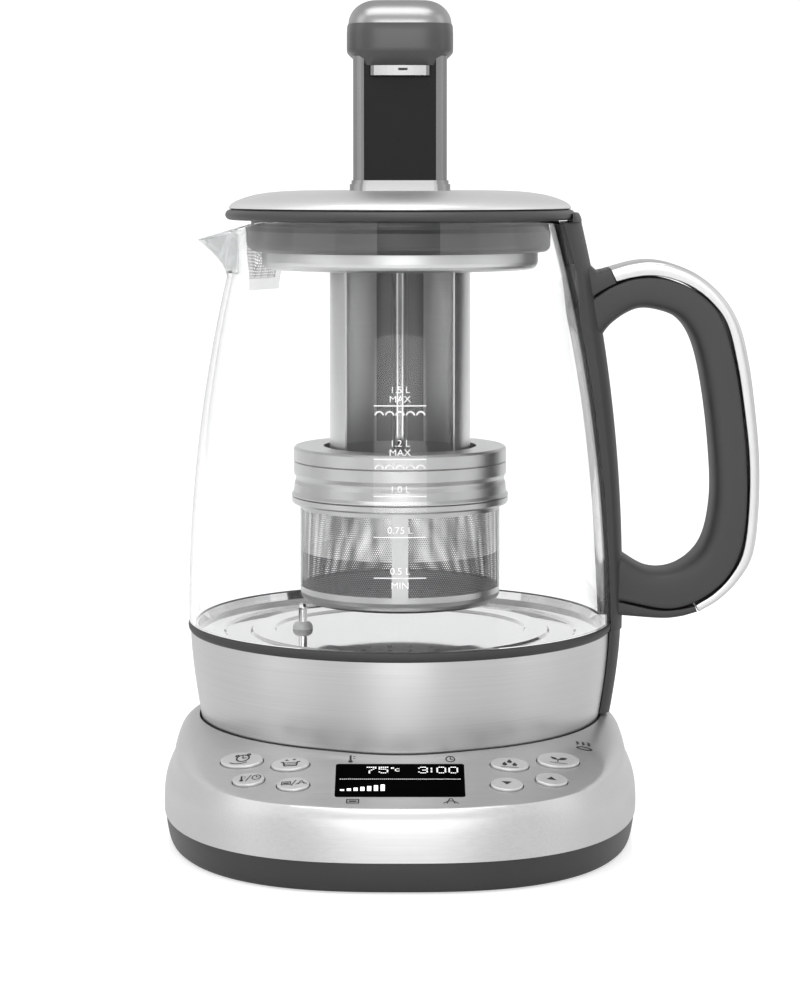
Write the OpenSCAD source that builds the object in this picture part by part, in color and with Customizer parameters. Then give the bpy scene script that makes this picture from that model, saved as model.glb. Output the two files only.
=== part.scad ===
// Automatic tea maker: a glass jug on a powered base, with a lid whose drive
// lowers a tea basket into the water and lifts it out again.
// Millimetres. The origin is on the jug's axis at the level of the counter.
// +X points to the handle, -X to the spout, -Y to the control panel, +Z up.

/* [Base] */
// Half width of the base
base_half = 87; // [85:0.5:90]
// Reach of the base in front of the jug's axis
base_front = 114.2; // [108:0.5:118]
// Height of the dark skirt
skirt_h = 10.8; // [8:0.2:13]
// Height of the soft crease between apron and panel
crease_z = 28.6; // [26:0.2:30]
// Height of the collar round the jug
collar_z = 39.8; // [38:0.2:41]
// Wall of the base casing
shell_t = 2.2; // [1.6:0.2:2.6]
// Radius of the well that the jug stands in
well_r = 75.2; // [75:0.1:76]
// Height of the well's floor
well_z = 27.5; // [26:0.5:28]

/* [Panel] */
// Width of the display
display_w = 44.5; // [40:0.5:48]
// Length of the display down the slope
display_l = 23.4; // [20:0.2:25]
// How far a button stands out of the panel
button_out = 0.9; // [0.6:0.1:1.2]
// How far a button travels
button_travel = 0.8; // [0.4:0.1:1]

/* [Jug] */
// Radius of the glass at its foot
glass_foot_r = 78.9; // [78:0.1:80]
// How much narrower the glass is at its rim
glass_taper = 19.6; // [18:0.1:21]
// Height of the glass rim
glass_top = 224; // [222:0.5:225]
// Wall of the glass
glass_t = 2.2; // [1.8:0.1:2.4]
// Radius of the steel cup at its top
cup_top_r = 78.3; // [78:0.1:79]
// Height of the steel cup's top
cup_top = 72; // [71:0.5:73]
// How far the spout stands out of the glass
spout_out = 14.4; // [10:0.2:16]

/* [Handle] */
// Half width of the handle loop
grip_half = 12; // [10:0.5:14]
// Half width of the strap down the jug
spine_half = 17; // [14:0.5:18]

/* [Lid] */
// Radius of the lid's dark ring
lid_r = 65; // [64:0.2:66]
// Width of the tower
tower_w = 34.5; // [32:0.5:36]
// Width of the tower's head
head_w = 39.4; // [38:0.2:41]
// Overall height
total_h = 305; // [302:0.5:308]

/* [Lift] */
// Outer radius of the guide sleeve
sleeve_r = 26.25; // [25:0.25:27]
// Half angle of the slot in the sleeve
sleeve_slot = 50; // [45:1:55]
// Height of the sleeve's lower end
sleeve_z = 139.2; // [138:0.2:141]
// Radius of the lift rod
rod_r = 2.8; // [2.4:0.1:3]
// Travel of the basket
lift_travel = 54; // [40:1:54]

/* [Basket] */
// Radius of the basket cup
basket_r = 37.3; // [36:0.1:38]
// Height of the basket's floor
basket_z = 82; // [82:0.5:84]
// Width of the bars between the windows
bar_w = 6; // [4:0.5:8]

/* [Hidden] */
$fn = 96;

steel = "silver";
dark = "#4a4a4a";
black = "#1c1c1c";
bright = "#e4e6e8";
rubber = "#2b2b2b";

// ---------- shared geometry ----------

plan_n = 72;                // points round the base's plan
eps = 0.01;

function smooth(x) = let (c = min(1, max(0, x))) c * c * (3 - 2 * c);
function mix(a, b, t) = a * (1 - t) + b * t;
function signed_pow(v, e) = sign(v) * pow(abs(v), e);

// closed plan curve: an ellipse behind the axis, a fuller superellipse in front of it
function plan_point(t, a, front, rear, n) = sin(t) < 0
  ? [a * signed_pow(cos(t), 2 / n), front * signed_pow(sin(t), 2 / n)]
  : [a * cos(t), rear * sin(t)];
function plan(a, front, rear, n, count = plan_n) =
  [for (i = [0 : count - 1]) plan_point(360 * i / count, a, front, rear, n)];
function base_plan(inset) =
  plan(base_half - inset, base_front - inset, base_half - inset, 2.65);

// radius of that curve in a given direction
function plan_radius(dir, a, front, rear, n) = let (
    m = sin(dir) < 0 ? n : 2,
    b = sin(dir) < 0 ? front : rear
  ) pow(pow(abs(cos(dir)) / a, m) + pow(abs(sin(dir)) / b, m), -1 / m);

// a smooth curve through a few points
function catmull(p0, p1, p2, p3, t) = 0.5 * (2 * p1 + (p2 - p0) * t
  + (2 * p0 - 5 * p1 + 4 * p2 - p3) * t * t + (3 * p1 - p0 - 3 * p2 + p3) * t * t * t);
function curve_at(pts, u) = let (
    last = len(pts) - 1,
    x = u * last,
    i = min(last - 1, floor(x))
  ) catmull(
    i == 0 ? 2 * pts[0] - pts[1] : pts[i - 1], pts[i], pts[i + 1],
    i + 1 == last ? 2 * pts[last] - pts[last - 1] : pts[i + 2], x - i);

// skin over a stack of closed rings, each with the same number of points;
// a hollow form's last ring joins its first one, and any other form gets two end faces
module skin(rings, hollow = false) {
  n = len(rings[0]);
  m = len(rings);
  last = hollow ? m - 1 : m - 2;
  polyhedron(
    points = [for (r = rings) for (p = r) p],
    faces = concat(
      [for (j = [0 : last]) for (i = [0 : n - 1]) let (k = (i + 1) % n, u = (j + 1) % m)
        [j * n + i, u * n + i, j * n + k]],
      [for (j = [0 : last]) for (i = [0 : n - 1]) let (k = (i + 1) % n, u = (j + 1) % m)
        [j * n + k, u * n + i, u * n + k]],
      hollow ? [] : [[for (i = [0 : n - 1]) i], [for (i = [n - 1 : -1 : 0]) (m - 1) * n + i]]
    )
  );
}

module ring(r_out, r_in, z0, z1) {
  translate([0, 0, z0])
    difference() {
      cylinder(r = r_out, h = z1 - z0);
      translate([0, 0, -1]) cylinder(r = r_in, h = z1 - z0 + 2);
    }
}

module rounded_box2d(w, l, r) {
  hull()
    for (x = [-1, 1], y = [-1, 1])
      translate([x * (w / 2 - r), y * (l / 2 - r)]) circle(r = r, $fn = 32);
}

// a cap screw with its head down
module screw(r, head_r, length, head_h) {
  cylinder(r = head_r, h = head_h);
  cylinder(r = r, h = length);
}

// ---------- base ----------

crease_half = 83;
crease_front = 110.6;
crease_rear = 83.6;
crease_n = 3;
flat_z0 = 38.6;             // height of the panel's flat middle at the jug
flat_slope = 0.282;         // its fall per mm forwards
flat_half = 22;             // its half width
panel_bow = 0.002;          // how fast the panel falls away beside it
panel_lift = 0.8;           // how far the panel rises to meet the collar
shoulder_n = 2.2;
crease_soft = 0.7;

// height of the casing's top, from the collar to the crease: a round shoulder all the
// way round, cut off in front by the sloping panel
function panel_share(x, y) = let (
    dir = atan2(y, x),
    edge = plan_radius(dir, crease_half, crease_front, crease_rear, crease_n)
  ) min(1, max(0, (norm([x, y]) - 74.6) / (edge - 74.6)));
function soft_min(a, b, k) = (a + b - sqrt((a - b) * (a - b) + k * k)) / 2;
function top_height(x, y) = let (
    s = panel_share(x, y),
    shoulder = crease_z + (collar_z - crease_z) * pow(1 - pow(s, shoulder_n), 1 / shoulder_n),
    panel = flat_z0 + flat_slope * (y + 74.25) - panel_bow * pow(max(0, abs(x) - flat_half), 2)
      + panel_lift * (1 - smooth(s / 0.15))
  ) soft_min(shoulder, panel, crease_soft);

// one ring of the casing's top, at share s of the way from the collar to the crease
function top_ring(s, drop = 0) = [for (i = [0 : plan_n - 1]) let (
    p = plan_point(360 * i / plan_n, crease_half - drop, crease_front - drop,
                   crease_rear - drop, crease_n),
    q = 74.6 * p / norm(p),
    x = mix(q[0], p[0], s),
    y = mix(q[1], p[1], s)
  ) [x, y, top_height(x, y) - drop]];

// rings of the apron under the crease: height, side inset, front inset
apron = [
  [11 , 0, 0, 2.65], [16, 0.1, 0.3, 2.7], [21.5, 0.8, 1, 2.8], [25.5, 2.4, 2, 2.9]
];
function apron_ring(r, drop = 0) = [for (p = plan(
    base_half - r[1] - drop, base_front - r[2] - drop, base_half - r[1] - drop, r[3]))
  [p[0], p[1], r[0] == 11 ? skirt_h - drop : r[0] - drop]];

top_shares = [1, 0.97, 0.92, 0.8, 0.62, 0.4, 0.24, 0.15, 0.07, 0];

module casing_block(drop) {
  skin(concat([for (r = apron) apron_ring(r, drop)], [for (s = top_shares) top_ring(s, drop)]));
}

// direction that the panel faces at a point, and the place on its surface
function panel_normal(x, y) = let (
    g = 0.5,
    n = [top_height(x - g, y) - top_height(x + g, y), top_height(x, y - g) - top_height(x, y + g),
         2 * g]
  ) n / norm(n);
module on_panel(x, y) {
  n = panel_normal(x, y);
  translate([x, y, top_height(x, y)])
    rotate([0, acos(n[2]), atan2(n[1], n[0])])
      rotate([0, 0, -atan2(n[1], n[0])])
        children();
}

display_y = -91.25;         // middle of the display
module on_display() {
  translate([0, display_y, flat_z0 + flat_slope * (display_y + 74.25)])
    rotate([atan(flat_slope), 0, 0])
      children();
}

// buttons: place on the panel, length, width and turn of the oval
big_oval = [15.5, 10.5];
mid_oval = [13.3, 9];
small_oval = [11.2, 8.8];
button_spots = [
  ["alarm", -55.2, -73.6, big_oval, -18], ["basket", -38, -79.9, mid_oval, 0],
  ["temperature", -52.1, -87.9, small_oval, -10], ["tea", -36.5, -93.9, small_oval, -6],
  ["boil", 38, -79.9, mid_oval, 0], ["heat", 55.2, -73.6, big_oval, 18],
  ["down", 36.5, -93.9, small_oval, 6], ["up", 52.1, -87.9, small_oval, 10]
];
tub_h = 11.7;               // wall round the well, up into the casing's top
button_gap = 0.35;
button_depth = 3.4;
stem_depth = 5.6;

module oval(size, grow = 0) {
  polygon([for (i = [0 : 27]) let (t = 360 * i / 28)
    [(size[0] / 2 + grow) * cos(t), (size[1] / 2 + grow) * sin(t)]]);
}

module button(i) {
  b = button_spots[i];
  color("#d9d9d9")
    on_panel(b[1], b[2]) {
      rotate([0, 0, b[4]]) {
        translate([0, 0, -button_depth])
          linear_extrude(button_depth + button_out - 0.35) oval(b[3]);
        translate([0, 0, button_out - 0.35 - eps])
          linear_extrude(0.35 + eps) oval(b[3], -0.5);
      }
      translate([0, 0, -stem_depth]) cylinder(r = 1.6, h = stem_depth - button_depth + eps);
    }
}

module base_shell() {
  color(steel)
    difference() {
      union() {
        difference() {
          casing_block(0);
          casing_block(shell_t);
        }
        translate([0, 0, well_z - 2]) cylinder(r = well_r + 2, h = tub_h);
      }
      translate([0, 0, well_z]) cylinder(r = well_r, h = 30);
      translate([0, 0, well_z - 5]) cylinder(r = 15.2, h = 10);
      translate([0, 75, 18]) rotate([-90, 0, 0]) cylinder(r = 5.5, h = 20);
      on_display()
        translate([0, 0, -6]) linear_extrude(12) rounded_box2d(display_w, display_l, 1);
      for (b = button_spots)
        on_panel(b[1], b[2])
          rotate([0, 0, b[4]])
            translate([0, 0, -5]) linear_extrude(10) oval(b[3], button_gap);
    }
}

// rings of the skirt: height and inset
skirt_rings = [[0.8, 4.6], [2.2, 2.9], [5, 1.6], [9.4, 0.5], [skirt_h, 0.5]];
module base_skirt() {
  color(dark)
    difference() {
      skin([for (r = skirt_rings) [for (p = base_plan(r[1])) [p[0], p[1], r[0]]]]);
      translate([0, 0, -1]) linear_extrude(20) polygon(base_plan(7));
    }
}

module bottom_plate() {
  color(dark)
    difference() {
      translate([0, 0, 1.2]) linear_extrude(2) polygon(base_plan(7));
      for (p = base_screw_spots)
        translate([p[0], p[1], 0]) {
          cylinder(r = 2.1, h = 5);
          cylinder(r = 3.5, h = 2.8);
        }
      for (x = [-20 : 5 : 20])
        translate([x - 1, 26, 0]) cube([2, 22, 5]);
    }
}

module foot_ring() {
  color(rubber)
    linear_extrude(1.2)
      difference() {
        polygon(base_plan(12));
        polygon(base_plan(18));
      }
}

base_screw_spots = [[-52, 30], [52, 30], [-48, -66], [48, -66]];
module base_screws() {
  color(steel)
    for (p = base_screw_spots)
      translate([p[0], p[1], 1.6]) screw(2.1 - eps, 3.4, 9, 1.2 - eps);
}

post_r = 10;
module connector_post() {
  color(black) {
    translate([0, 0, 8]) cylinder(r = 15.1, h = well_z - 8);
    translate([0, 0, well_z - eps]) cylinder(r = post_r, h = 3.4);
    difference() {
      translate([0, 0, well_z]) cylinder(r = 8.6, h = 14.5);
      for (z = [34, 38]) ring(9, 7.8, z, z + 1.2);
      translate([0, 0, 34]) cylinder(r = 3.2, h = 10);
    }
  }
  color("gold") ring(2.2, 1.2, 33, 41);
}

module display_window() {
  color(black)
    on_display()
      translate([0, 0, -1.3]) linear_extrude(1.4) rounded_box2d(display_w - 0.1, display_l - 0.1, 1);
}

module display_module() {
  color("#303438")
    on_display()
      translate([-display_w / 2 - 2, -display_l / 2 + 0.6, -4.8])
        cube([display_w + 4, display_l - 1.4, 2.4]);
}

board_z = 17;
switch_depth = 19;
module control_board() {
  color("darkgreen")
    translate([0, 0, board_z])
      linear_extrude(1.6)
        intersection() {
          polygon(base_plan(9));
          translate([-100, -120]) square([200, 70]);
        }
  color(black) {
    on_display()
      translate([-12, -4, -switch_depth]) cube([24, 8, switch_depth - 4.8]);
    for (b = button_spots)
      on_panel(b[1], b[2])
        translate([0, 0, -switch_depth])
          cylinder(r = 3, h = switch_depth - stem_depth - button_travel - 0.2);
  }
}

module power_board() {
  color("darkgreen") translate([-45, 12, 6]) cube([90, 52, 1.6]);
  color("orange") translate([-38, 22, 7.6 - eps]) cube([24, 22, 14]);
  color(black) translate([4, 24, 7.6 - eps]) cube([19, 15, 13]);
  color(steel) translate([34, 44, 7.6 - eps]) cylinder(r = 5, h = 12);
  color(dark)
    for (x = [-42, 38], y = [15, 57])
      translate([x, y, 3.2]) cube([4, 4, 2.8]);
}

module cord_inlet() {
  color(black)
    translate([0, 0, 18])
      rotate([-90, 0, 0])
        difference() {
          union() {
            translate([0, 0, 79]) cylinder(r = 7, h = 2.2);
            translate([0, 0, 79]) cylinder(r = 5.4, h = 8.8);
          }
          translate([0, 0, 70]) cylinder(r = 3.3, h = 30);
        }
}

module coupler_collar() {
  color(dark)
    union() {
      ring(14.8, post_r + 0.05, well_z + 0.2, 30.4);
      for (a = [0, 180])
        rotate([0, 0, a]) translate([11.2, -2, 30.4 - eps]) cube([3.2, 4, 2]);
    }
}

// ---------- jug ----------

glass_foot = 75.6;
function glass_r(z) = glass_foot_r - glass_taper * pow((z - 78) / 146, 2);
function cup_r(z) = cup_top_r - 4.1 * pow(max(0, cup_top - z) / 33, 1.5);

spout_z = 203;              // where the spout starts to grow out of the wall
spout_half = 34;            // half of the spout's angle
function spout_shape(d) = abs(d) < spout_half ? pow(cos(90 * d / spout_half), 1.6) : 0;

// directions round the axis, closer together in the spout
glass_steps = 50;
spout_steps = 24;
glass_dirs = concat(
  [for (i = [0 : glass_steps - 1]) spout_half + (360 - 2 * spout_half) * i / glass_steps],
  [for (i = [0 : spout_steps - 1]) spout_half * (2 * i / spout_steps - 1)]);

// one ring of the glass: a plain circle at height z, or share v of the way up the spout
function glass_ring(z, v, inset) = [for (d = glass_dirs) let (
    lip = glass_top - 7 * spout_shape(d),
    h = v == 0 ? z : mix(spout_z, lip, v),
    r = glass_r(h) + spout_out * spout_shape(d) * pow(v, 1.5) - inset
  ) [r * cos(180 + d), r * sin(180 + d), h]];
wall_rows = 9;
spout_rows = 6;
function glass_rings(inset) = concat(
  [for (i = [0 : wall_rows]) glass_ring(mix(glass_foot, spout_z, i / wall_rows), 0, inset)],
  [for (j = [1 : spout_rows]) glass_ring(0, j / spout_rows, inset)]);
function turned_over(list) = [for (i = [len(list) - 1 : -1 : 0]) list[i]];

module glass_body() {
  color("lightcyan", 0.35)
    skin(concat(glass_rings(0), turned_over(glass_rings(glass_t))), true);
}

cup_steps = 10;
module jug_cup() {
  z0 = 30;
  color(steel)
    rotate_extrude()
      polygon(concat(
        [[68, 27.8], [71.5, 27.8], [73, 28.5]],
        [for (i = [0 : cup_steps]) let (z = mix(z0, cup_top, i / cup_steps)) [cup_r(z), z]],
        [for (i = [cup_steps : -1 : 0]) let (z = mix(z0, cup_top, i / cup_steps))
          [cup_r(z) - 0.8, z]],
        [[72.2, 29], [68, 28.6]]));
}

module seam_gasket() {
  color(rubber)
    rotate_extrude()
      polygon(concat([[76.4, 72], [78.4, 72]],
        [for (a = [-60 : 30 : 60]) [78.1 + 1.1 * cos(a), 73.8 + 1.75 * sin(a)]],
        [[78.4, glass_foot], [76.4, glass_foot]]));
}

module heating_plate() {
  color(steel)
    difference() {
      rotate_extrude()
        polygon([[0, 69.6], [76, 69.6], [77.4, 70.6], [77.4, 72], [76.4, 72], [76.4, 75.2],
          [75.6, 75.2], [74.6, 72.4], [66, 71.6], [65, 70.9], [56, 70.9], [55.2, 71.7],
          [47, 71.7], [46.2, 71], [0, 71]]);
      translate([probe_x, 0, 60]) cylinder(r = 1.6, h = 20);
    }
}

module heating_element() {
  color("darkgray") {
    ring(56, 44, 61, 69.6);
    for (a = [-20, 20])
      rotate([0, 0, a + 90]) translate([46, -2.5, 55]) cube([5, 5, 7]);
  }
}

connector_r = 24;
module jug_connector() {
  color(black)
    difference() {
      union() {
        translate([0, 0, 30.8]) cylinder(r = connector_r, h = 15);
        translate([0, 0, 31.25]) cylinder(r = connector_r + 4, h = 2);
      }
      translate([0, 0, 30]) cylinder(r = 9.2, h = 13.5);
      ring(15.2, 9, 30, 33);
    }
  color("gold") translate([0, 0, 34.5]) cylinder(r = 1, h = 9.1);
}

module cup_floor() {
  color(dark)
    difference() {
      union() {
        ring(71.4, connector_r + 0.1, 29.2, 31.2);
        ring(66, 64, 31.2 - eps, 34);
      }
      for (a = jug_screw_angles)
        rotate([0, 0, a]) translate([58, 0, 20]) cylinder(r = 1.6, h = 20);
    }
}

jug_screw_angles = [30, 150, 270];
module jug_screws() {
  color(steel)
    for (a = jug_screw_angles)
      rotate([0, 0, a]) translate([58, 0, 28.2]) screw(1.6 - eps, 3, 8, 1);
}

probe_x = -36.5;
module temperature_probe() {
  color(steel)
    translate([probe_x, 0, 0]) {
      translate([0, 0, 62]) cylinder(r = 1.6 - eps, h = 17);
      translate([0, 0, 79]) sphere(r = 1.6 - eps, $fn = 32);
    }
}

module probe_grommet() {
  color("#cfcfcf")
    translate([probe_x, 0, 71])
      rotate_extrude()
        polygon(concat([[1.6, 0], [3.75, 0]],
          [for (a = [0 : 30 : 90]) [1.6 + 2.15 * cos(a), 0.8 + 1.9 * sin(a)]]));
}

// distance of the strap's inner and outer faces from the jug's axis
function body_r(z) = z < cup_top ? cup_r(z) : glass_r(z);
function spine_in(z) = z > 223.6 ? lid_r + 0.6 : body_r(z) + mix(0.35, 2.9, smooth((z - 186) / 20));
function spine_out(z) = z > 223.6
  ? lid_r + 2.6 - pow((z - 223.6) / 3.4, 2) * 1.2
  : body_r(z) + 4.2 + 3.4 * pow(max(0, z - 78) / 132, 1.3);
function spine_w(z) = mix(9, spine_half, smooth((z - 38) / 70));

// one ring of the strap: an arc along the inner face, then back along a softer outer one
function spine_ring(z) = let (a = spine_in(z), b = spine_out(z), w = spine_w(z)) concat(
  [for (i = [4 : -1 : -4]) let (y = w * i / 4) [sqrt(a * a - y * y), y, z]],
  [for (i = [-3.9, -3, -1.8, 0, 1.8, 3, 3.9])
    let (y = w * i / 4, e = 0.72 * (b - a) * pow(abs(i) / 4, 4))
    [sqrt(b * b - y * y) - e, y, z]]);
spine_levels = [40.4, 41, 48, 56, 64, 71.8, 72.2, 84, 98, 112, 126, 140, 154, 168, 182, 190, 198,
                206, 214, 220, 223.4, 223.7, 225.4, 226.6, 227];
module handle_spine() {
  color(dark) {
    skin([for (z = spine_levels) spine_ring(z)]);
    difference() {
      loop_bar(shoulder_inner, shoulder_outer, grip_half, 8, tight, 0.5);
      strap_room(-0.6);
    }
  }
}

// outlines of the handle loop in the plane of the handle, from the upper to the lower root
loop_inner = [[72.9, 178.5], [78.6, 186], [87.5, 191.3], [96.5, 190.7], [104, 186.9], [109.3, 177.5],
              [113, 160.5], [115.6, 138], [116, 119.5], [112.4, 104], [103.5, 95.6], [92.5, 94.5],
              [80.5, 101.4]];
loop_outer = [[67.5, 192.6], [77.5, 199.4], [87.5, 202.9], [98.5, 202.6], [109.5, 198], [118.5, 188.8],
              [124.2, 170], [127.8, 144], [128.8, 119], [125.9, 99.8], [117.1, 87.2], [101.5, 80.1],
              [81, 83.2]];
trim_outer = [[77.7, 206.6], [85.5, 208.8], [93, 209.6], [101, 208.2], [110.5, 204], [119.3, 196.4],
              [125.6, 186], [129.2, 172], [131.6, 155], [133.3, 136], [133.2, 117], [131.2, 100.5],
              [125.8, 90.6], [118.6, 83.4], [111, 78.8]];
trim_inner = [[80, 201.6], [86, 203.1], [92.6, 203.8], [99.6, 202.8], [107.6, 199.7], [115, 194],
              [120.7, 186], [124.4, 172], [127, 156], [129.2, 136], [129.1, 117], [127.2, 101.5],
              [122.6, 92.4], [116.4, 85.9], [109.9, 81.7]];
foot_inner = [[109.5, 81.1], [103, 79.8], [95, 79.7], [81, 82.8]];
foot_outer = [[110.5, 78.5], [104, 76.7], [96.4, 76.1], [81, 77.1]];
shoulder_inner = [[66, 191.6], [72, 196.5], [76, 199], [79.8, 200.9]];
shoulder_outer = [[66, 213], [72.2, 206.3], [74.6, 205.9], [77.5, 206.6]];

// a bar between two outlines; its section is a rectangle, rounded as each of its sides says
tight = 0.15;
module loop_bar(inner, outer, half, stations, inner_corner, outer_corner) {
  skin([for (i = [0 : stations]) let (
      u = i / stations,
      p = curve_at(inner, u),
      q = curve_at(outer, u)
    ) [for (k = [0 : 15]) let (
        t = 360 * k / 16,
        corner = cos(t) > 0 ? outer_corner : inner_corner,
        s = 0.5 + 0.5 * signed_pow(cos(t), corner),
        y = -half * signed_pow(sin(t), corner)
      ) [mix(p[0], q[0], s), y, mix(p[1], q[1], s)]]]);
}

module handle_grip() {
  color(dark)
    difference() {
      loop_bar(loop_inner, loop_outer, grip_half, 30, 0.55, tight);
      strap_room(0.1);
    }
}
module handle_trim() {
  color(bright)
    loop_bar(trim_inner, trim_outer, grip_half + 0.3, 28, tight, 0.4);
}
module handle_foot() {
  color("#333")
    difference() {
      loop_bar(foot_inner, foot_outer, grip_half - 0.6, 8, tight, 0.55);
      strap_room(0.1);
    }
}
// room for the strap where the loop meets it
module strap_room(gap) {
  skin([for (z = spine_levels) if (z > 60 && z < 215) let (b = spine_out(z) + gap)
    [[b - 12, -20, z], [sqrt(b * b - 144), -20, z], [sqrt(b * b - 144), -12, z], [sqrt(b * b - 36), -6, z],
     [b, 0, z], [sqrt(b * b - 36), 6, z], [sqrt(b * b - 144), 12, z], [sqrt(b * b - 144), 20, z],
     [b - 12, 20, z]]]);
}

module rim_clip() {
  color(black)
    rotate_extrude(angle = 16, start = -8)
      polygon(concat(
        [for (z = [208 : 5 : 223]) [glass_r(z) + 0.1, z]],
        [for (z = [223 : -5 : 208]) [spine_in(z) - 0.1, z]]));
}

filter_gap = 0.9;
module filter_wall(z0, z1, lift_in, t) {
  polygon(concat(
    [for (z = [z0 : (z1 - z0) / 4 : z1 + eps]) [glass_r(z) - glass_t - filter_gap - lift_in, z]],
    [for (z = [z1 : -(z1 - z0) / 4 : z0 - eps])
      [glass_r(z) - glass_t - filter_gap - lift_in - t, z]]));
}
module filter_frame() {
  color(steel)
    difference() {
      rotate_extrude(angle = 81, start = 139.5) filter_wall(197, 219.6, -0.7, 1.4);
      rotate_extrude(angle = 70, start = 145) translate([50, 201.5]) square([20, 14]);
    }
}
module filter_screen() {
  color("gray")
    rotate_extrude(angle = 70, start = 145) filter_wall(201.5, 215.5, 0, 0.4);
}

// ---------- lid ----------

rim_z0 = 224.4;
rim_z1 = 228.2;
dome_z = 235.2;
foot_top = 239;
head_z = 281;
cap_z = 296.4;

module lid_rim() {
  r = (rim_z1 - rim_z0) / 2;
  color(dark)
    rotate_extrude()
      polygon(concat([[52, rim_z0]],
        [for (a = [-90 : 15 : 90]) [lid_r - r + r * cos(a), rim_z0 + r + r * sin(a)]],
        [[52, rim_z1]]));
}

// the dome's outer line, from its edge to the flat round the tower
dome_line = [[63.75, 229.2], [62.9, 229.9], [58, 231.4], [52, 233], [47, 234.1], [43, 234.8],
             [39, dome_z]];
module lid_cover() {
  color(bright)
    rotate_extrude()
      polygon(concat([[63.2, 228.4], [63.75, 228.6]], dome_line, [[17, dome_z], [17, dome_z - 1]],
        [for (i = [len(dome_line) - 1 : -1 : 2]) [dome_line[i][0], dome_line[i][1] - 1]],
        [[60.5, 228.4]]));
}

pan_r = 51.4;
module lid_seal() {
  color("#b8b8b8")
    rotate_extrude()
      polygon(concat([[pan_r, 221.5], [pan_r, 212.4]],
        [for (a = [-90 : 22.5 : 0]) [53.2 + 2.8 * cos(a), 215.2 + 2.8 * sin(a)]],
        [[56, 220], [55.4, 221.5], [55.4, rim_z0], [pan_r, rim_z0]]));
}

module lid_pan() {
  color(steel)
    rotate_extrude()
      polygon(concat([[sleeve_r + 0.05, 206], [pan_r - 3, 206]],
        [for (a = [-90 : 22.5 : 0]) [pan_r - 3 + 3 * cos(a), 209 + 3 * sin(a)]],
        [[pan_r, rim_z0], [pan_r - 0.8, rim_z0], [pan_r - 0.8, 209.4], [pan_r - 2.8, 206.8],
         [sleeve_r + 0.05, 206.8]]));
}

sleeve_top = 212;
module guide_sleeve() {
  color(steel)
    difference() {
      ring(sleeve_r, sleeve_r - 0.8, sleeve_z, sleeve_top);
      translate([0, 0, sleeve_z - 1])
        rotate_extrude(angle = 2 * sleeve_slot, start = 270 - sleeve_slot)
          translate([10, 0]) square([30, 206 - sleeve_z + 1]);
    }
}

rack_back = 7;              // tips of the rack's teeth
module lift_chassis() {
  color(black)
    difference() {
      union() {
        translate([0, 0, sleeve_top + 0.05]) cylinder(r = pan_r - 0.9, h = 2.45);
        translate([0, 0, 207]) cylinder(r = sleeve_r - 0.9, h = 5.1);
        for (a = [60, 180, 300])
          rotate([0, 0, a]) translate([44, 0, 214]) cylinder(r = 3.2, h = 12);
      }
      translate([0, 0, 200]) cylinder(r = rod_r + 0.05, h = 20);
      translate([-2.4, 0, 200]) cube([4.8, rack_back + 0.5, 20]);
      for (a = [60, 180, 300])
        rotate([0, 0, a]) translate([44, 0, 205]) cylinder(r = 1.3, h = 18);
    }
}

module lid_screws() {
  color(steel)
    for (a = [60, 180, 300])
      rotate([0, 0, a]) translate([44, 0, 209.6]) screw(1.3 - eps, 2.4, 12, 2.4);
}

tower_l = 36;
module tower_block(inset, z0, z1) {
  translate([0, 0, z0])
    linear_extrude(z1 - z0) rounded_box2d(tower_w - 2 * inset, tower_l - 2 * inset, 5 - inset);
}
front_half = 13.2;
tower_top = 284.5;          // the walls end against the slanting underside of the head
module tower_body() {
  color("#6a6a6a")
    difference() {
      tower_block(0, foot_top, tower_top);
      tower_block(2, foot_top - 1, tower_top + 1);
      translate([-front_half, -tower_l, foot_top - 1]) cube([2 * front_half, tower_l / 2 + 6, 50]);
      head_underside(0.05);
    }
}
tab_half = 10.7;
tab_z = 277.2;
module tower_front() {
  color(black)
    difference() {
      translate([-front_half, -tower_l / 2 + 0.6, foot_top])
        cube([2 * front_half, 1.8, tower_top - foot_top]);
      translate([-tab_half - 0.3, -tower_l, tab_z - 0.3]) cube([2 * tab_half + 0.6, tower_l, 6]);
      head_underside(0.05);
    }
}
module tower_foot() {
  color(bright)
    difference() {
      union() {
        translate([0, 0, dome_z]) linear_extrude(2.4) rounded_box2d(tower_w + 2.5, tower_l + 2.5, 6);
        translate([0, 0, dome_z]) linear_extrude(foot_top - dome_z)
          rounded_box2d(tower_w + 1.2, tower_l + 1.2, 5.6);
      }
      translate([0, 0, dome_z - 1]) linear_extrude(10) rounded_box2d(20, 24, 3);
    }
}

// plan of the head: a squared circle, squarer still where it sits on the tower
head_half = head_w / 2;
chamfer_z = 285.6;
function head_ring(half, deep, z, n = 0.5) = [for (i = [0 : 47]) let (t = 360 * i / 48)
  [half * signed_pow(cos(t), n), deep * signed_pow(sin(t), n), z]];
function head_level(half, z) = head_ring(half, half + 0.8, z);
function head_foot(gap) = head_ring(14.3 + gap, tower_l / 2 + 0.1 + gap, head_z, 0.25);
module head_underside(gap) {
  skin([head_foot(gap), head_level(head_half - 0.5 + gap, chamfer_z)]);
}
module head_shell() {
  color(dark)
    difference() {
      skin([head_foot(0), head_level(head_half - 0.5, chamfer_z), head_level(head_half, 287),
            head_level(head_half, 293), head_level(head_half - 0.4, cap_z)]);
      translate([0, 0, head_z - 1]) cylinder(r = 11, h = 13.5);
    }
}
module head_cap() {
  color(bright)
    skin([for (a = [0 : 15 : 75]) head_level(head_half - 0.6 - 10 * (1 - cos(a)),
                                            cap_z + (total_h - cap_z) * sin(a) / sin(75))]);
}

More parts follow.
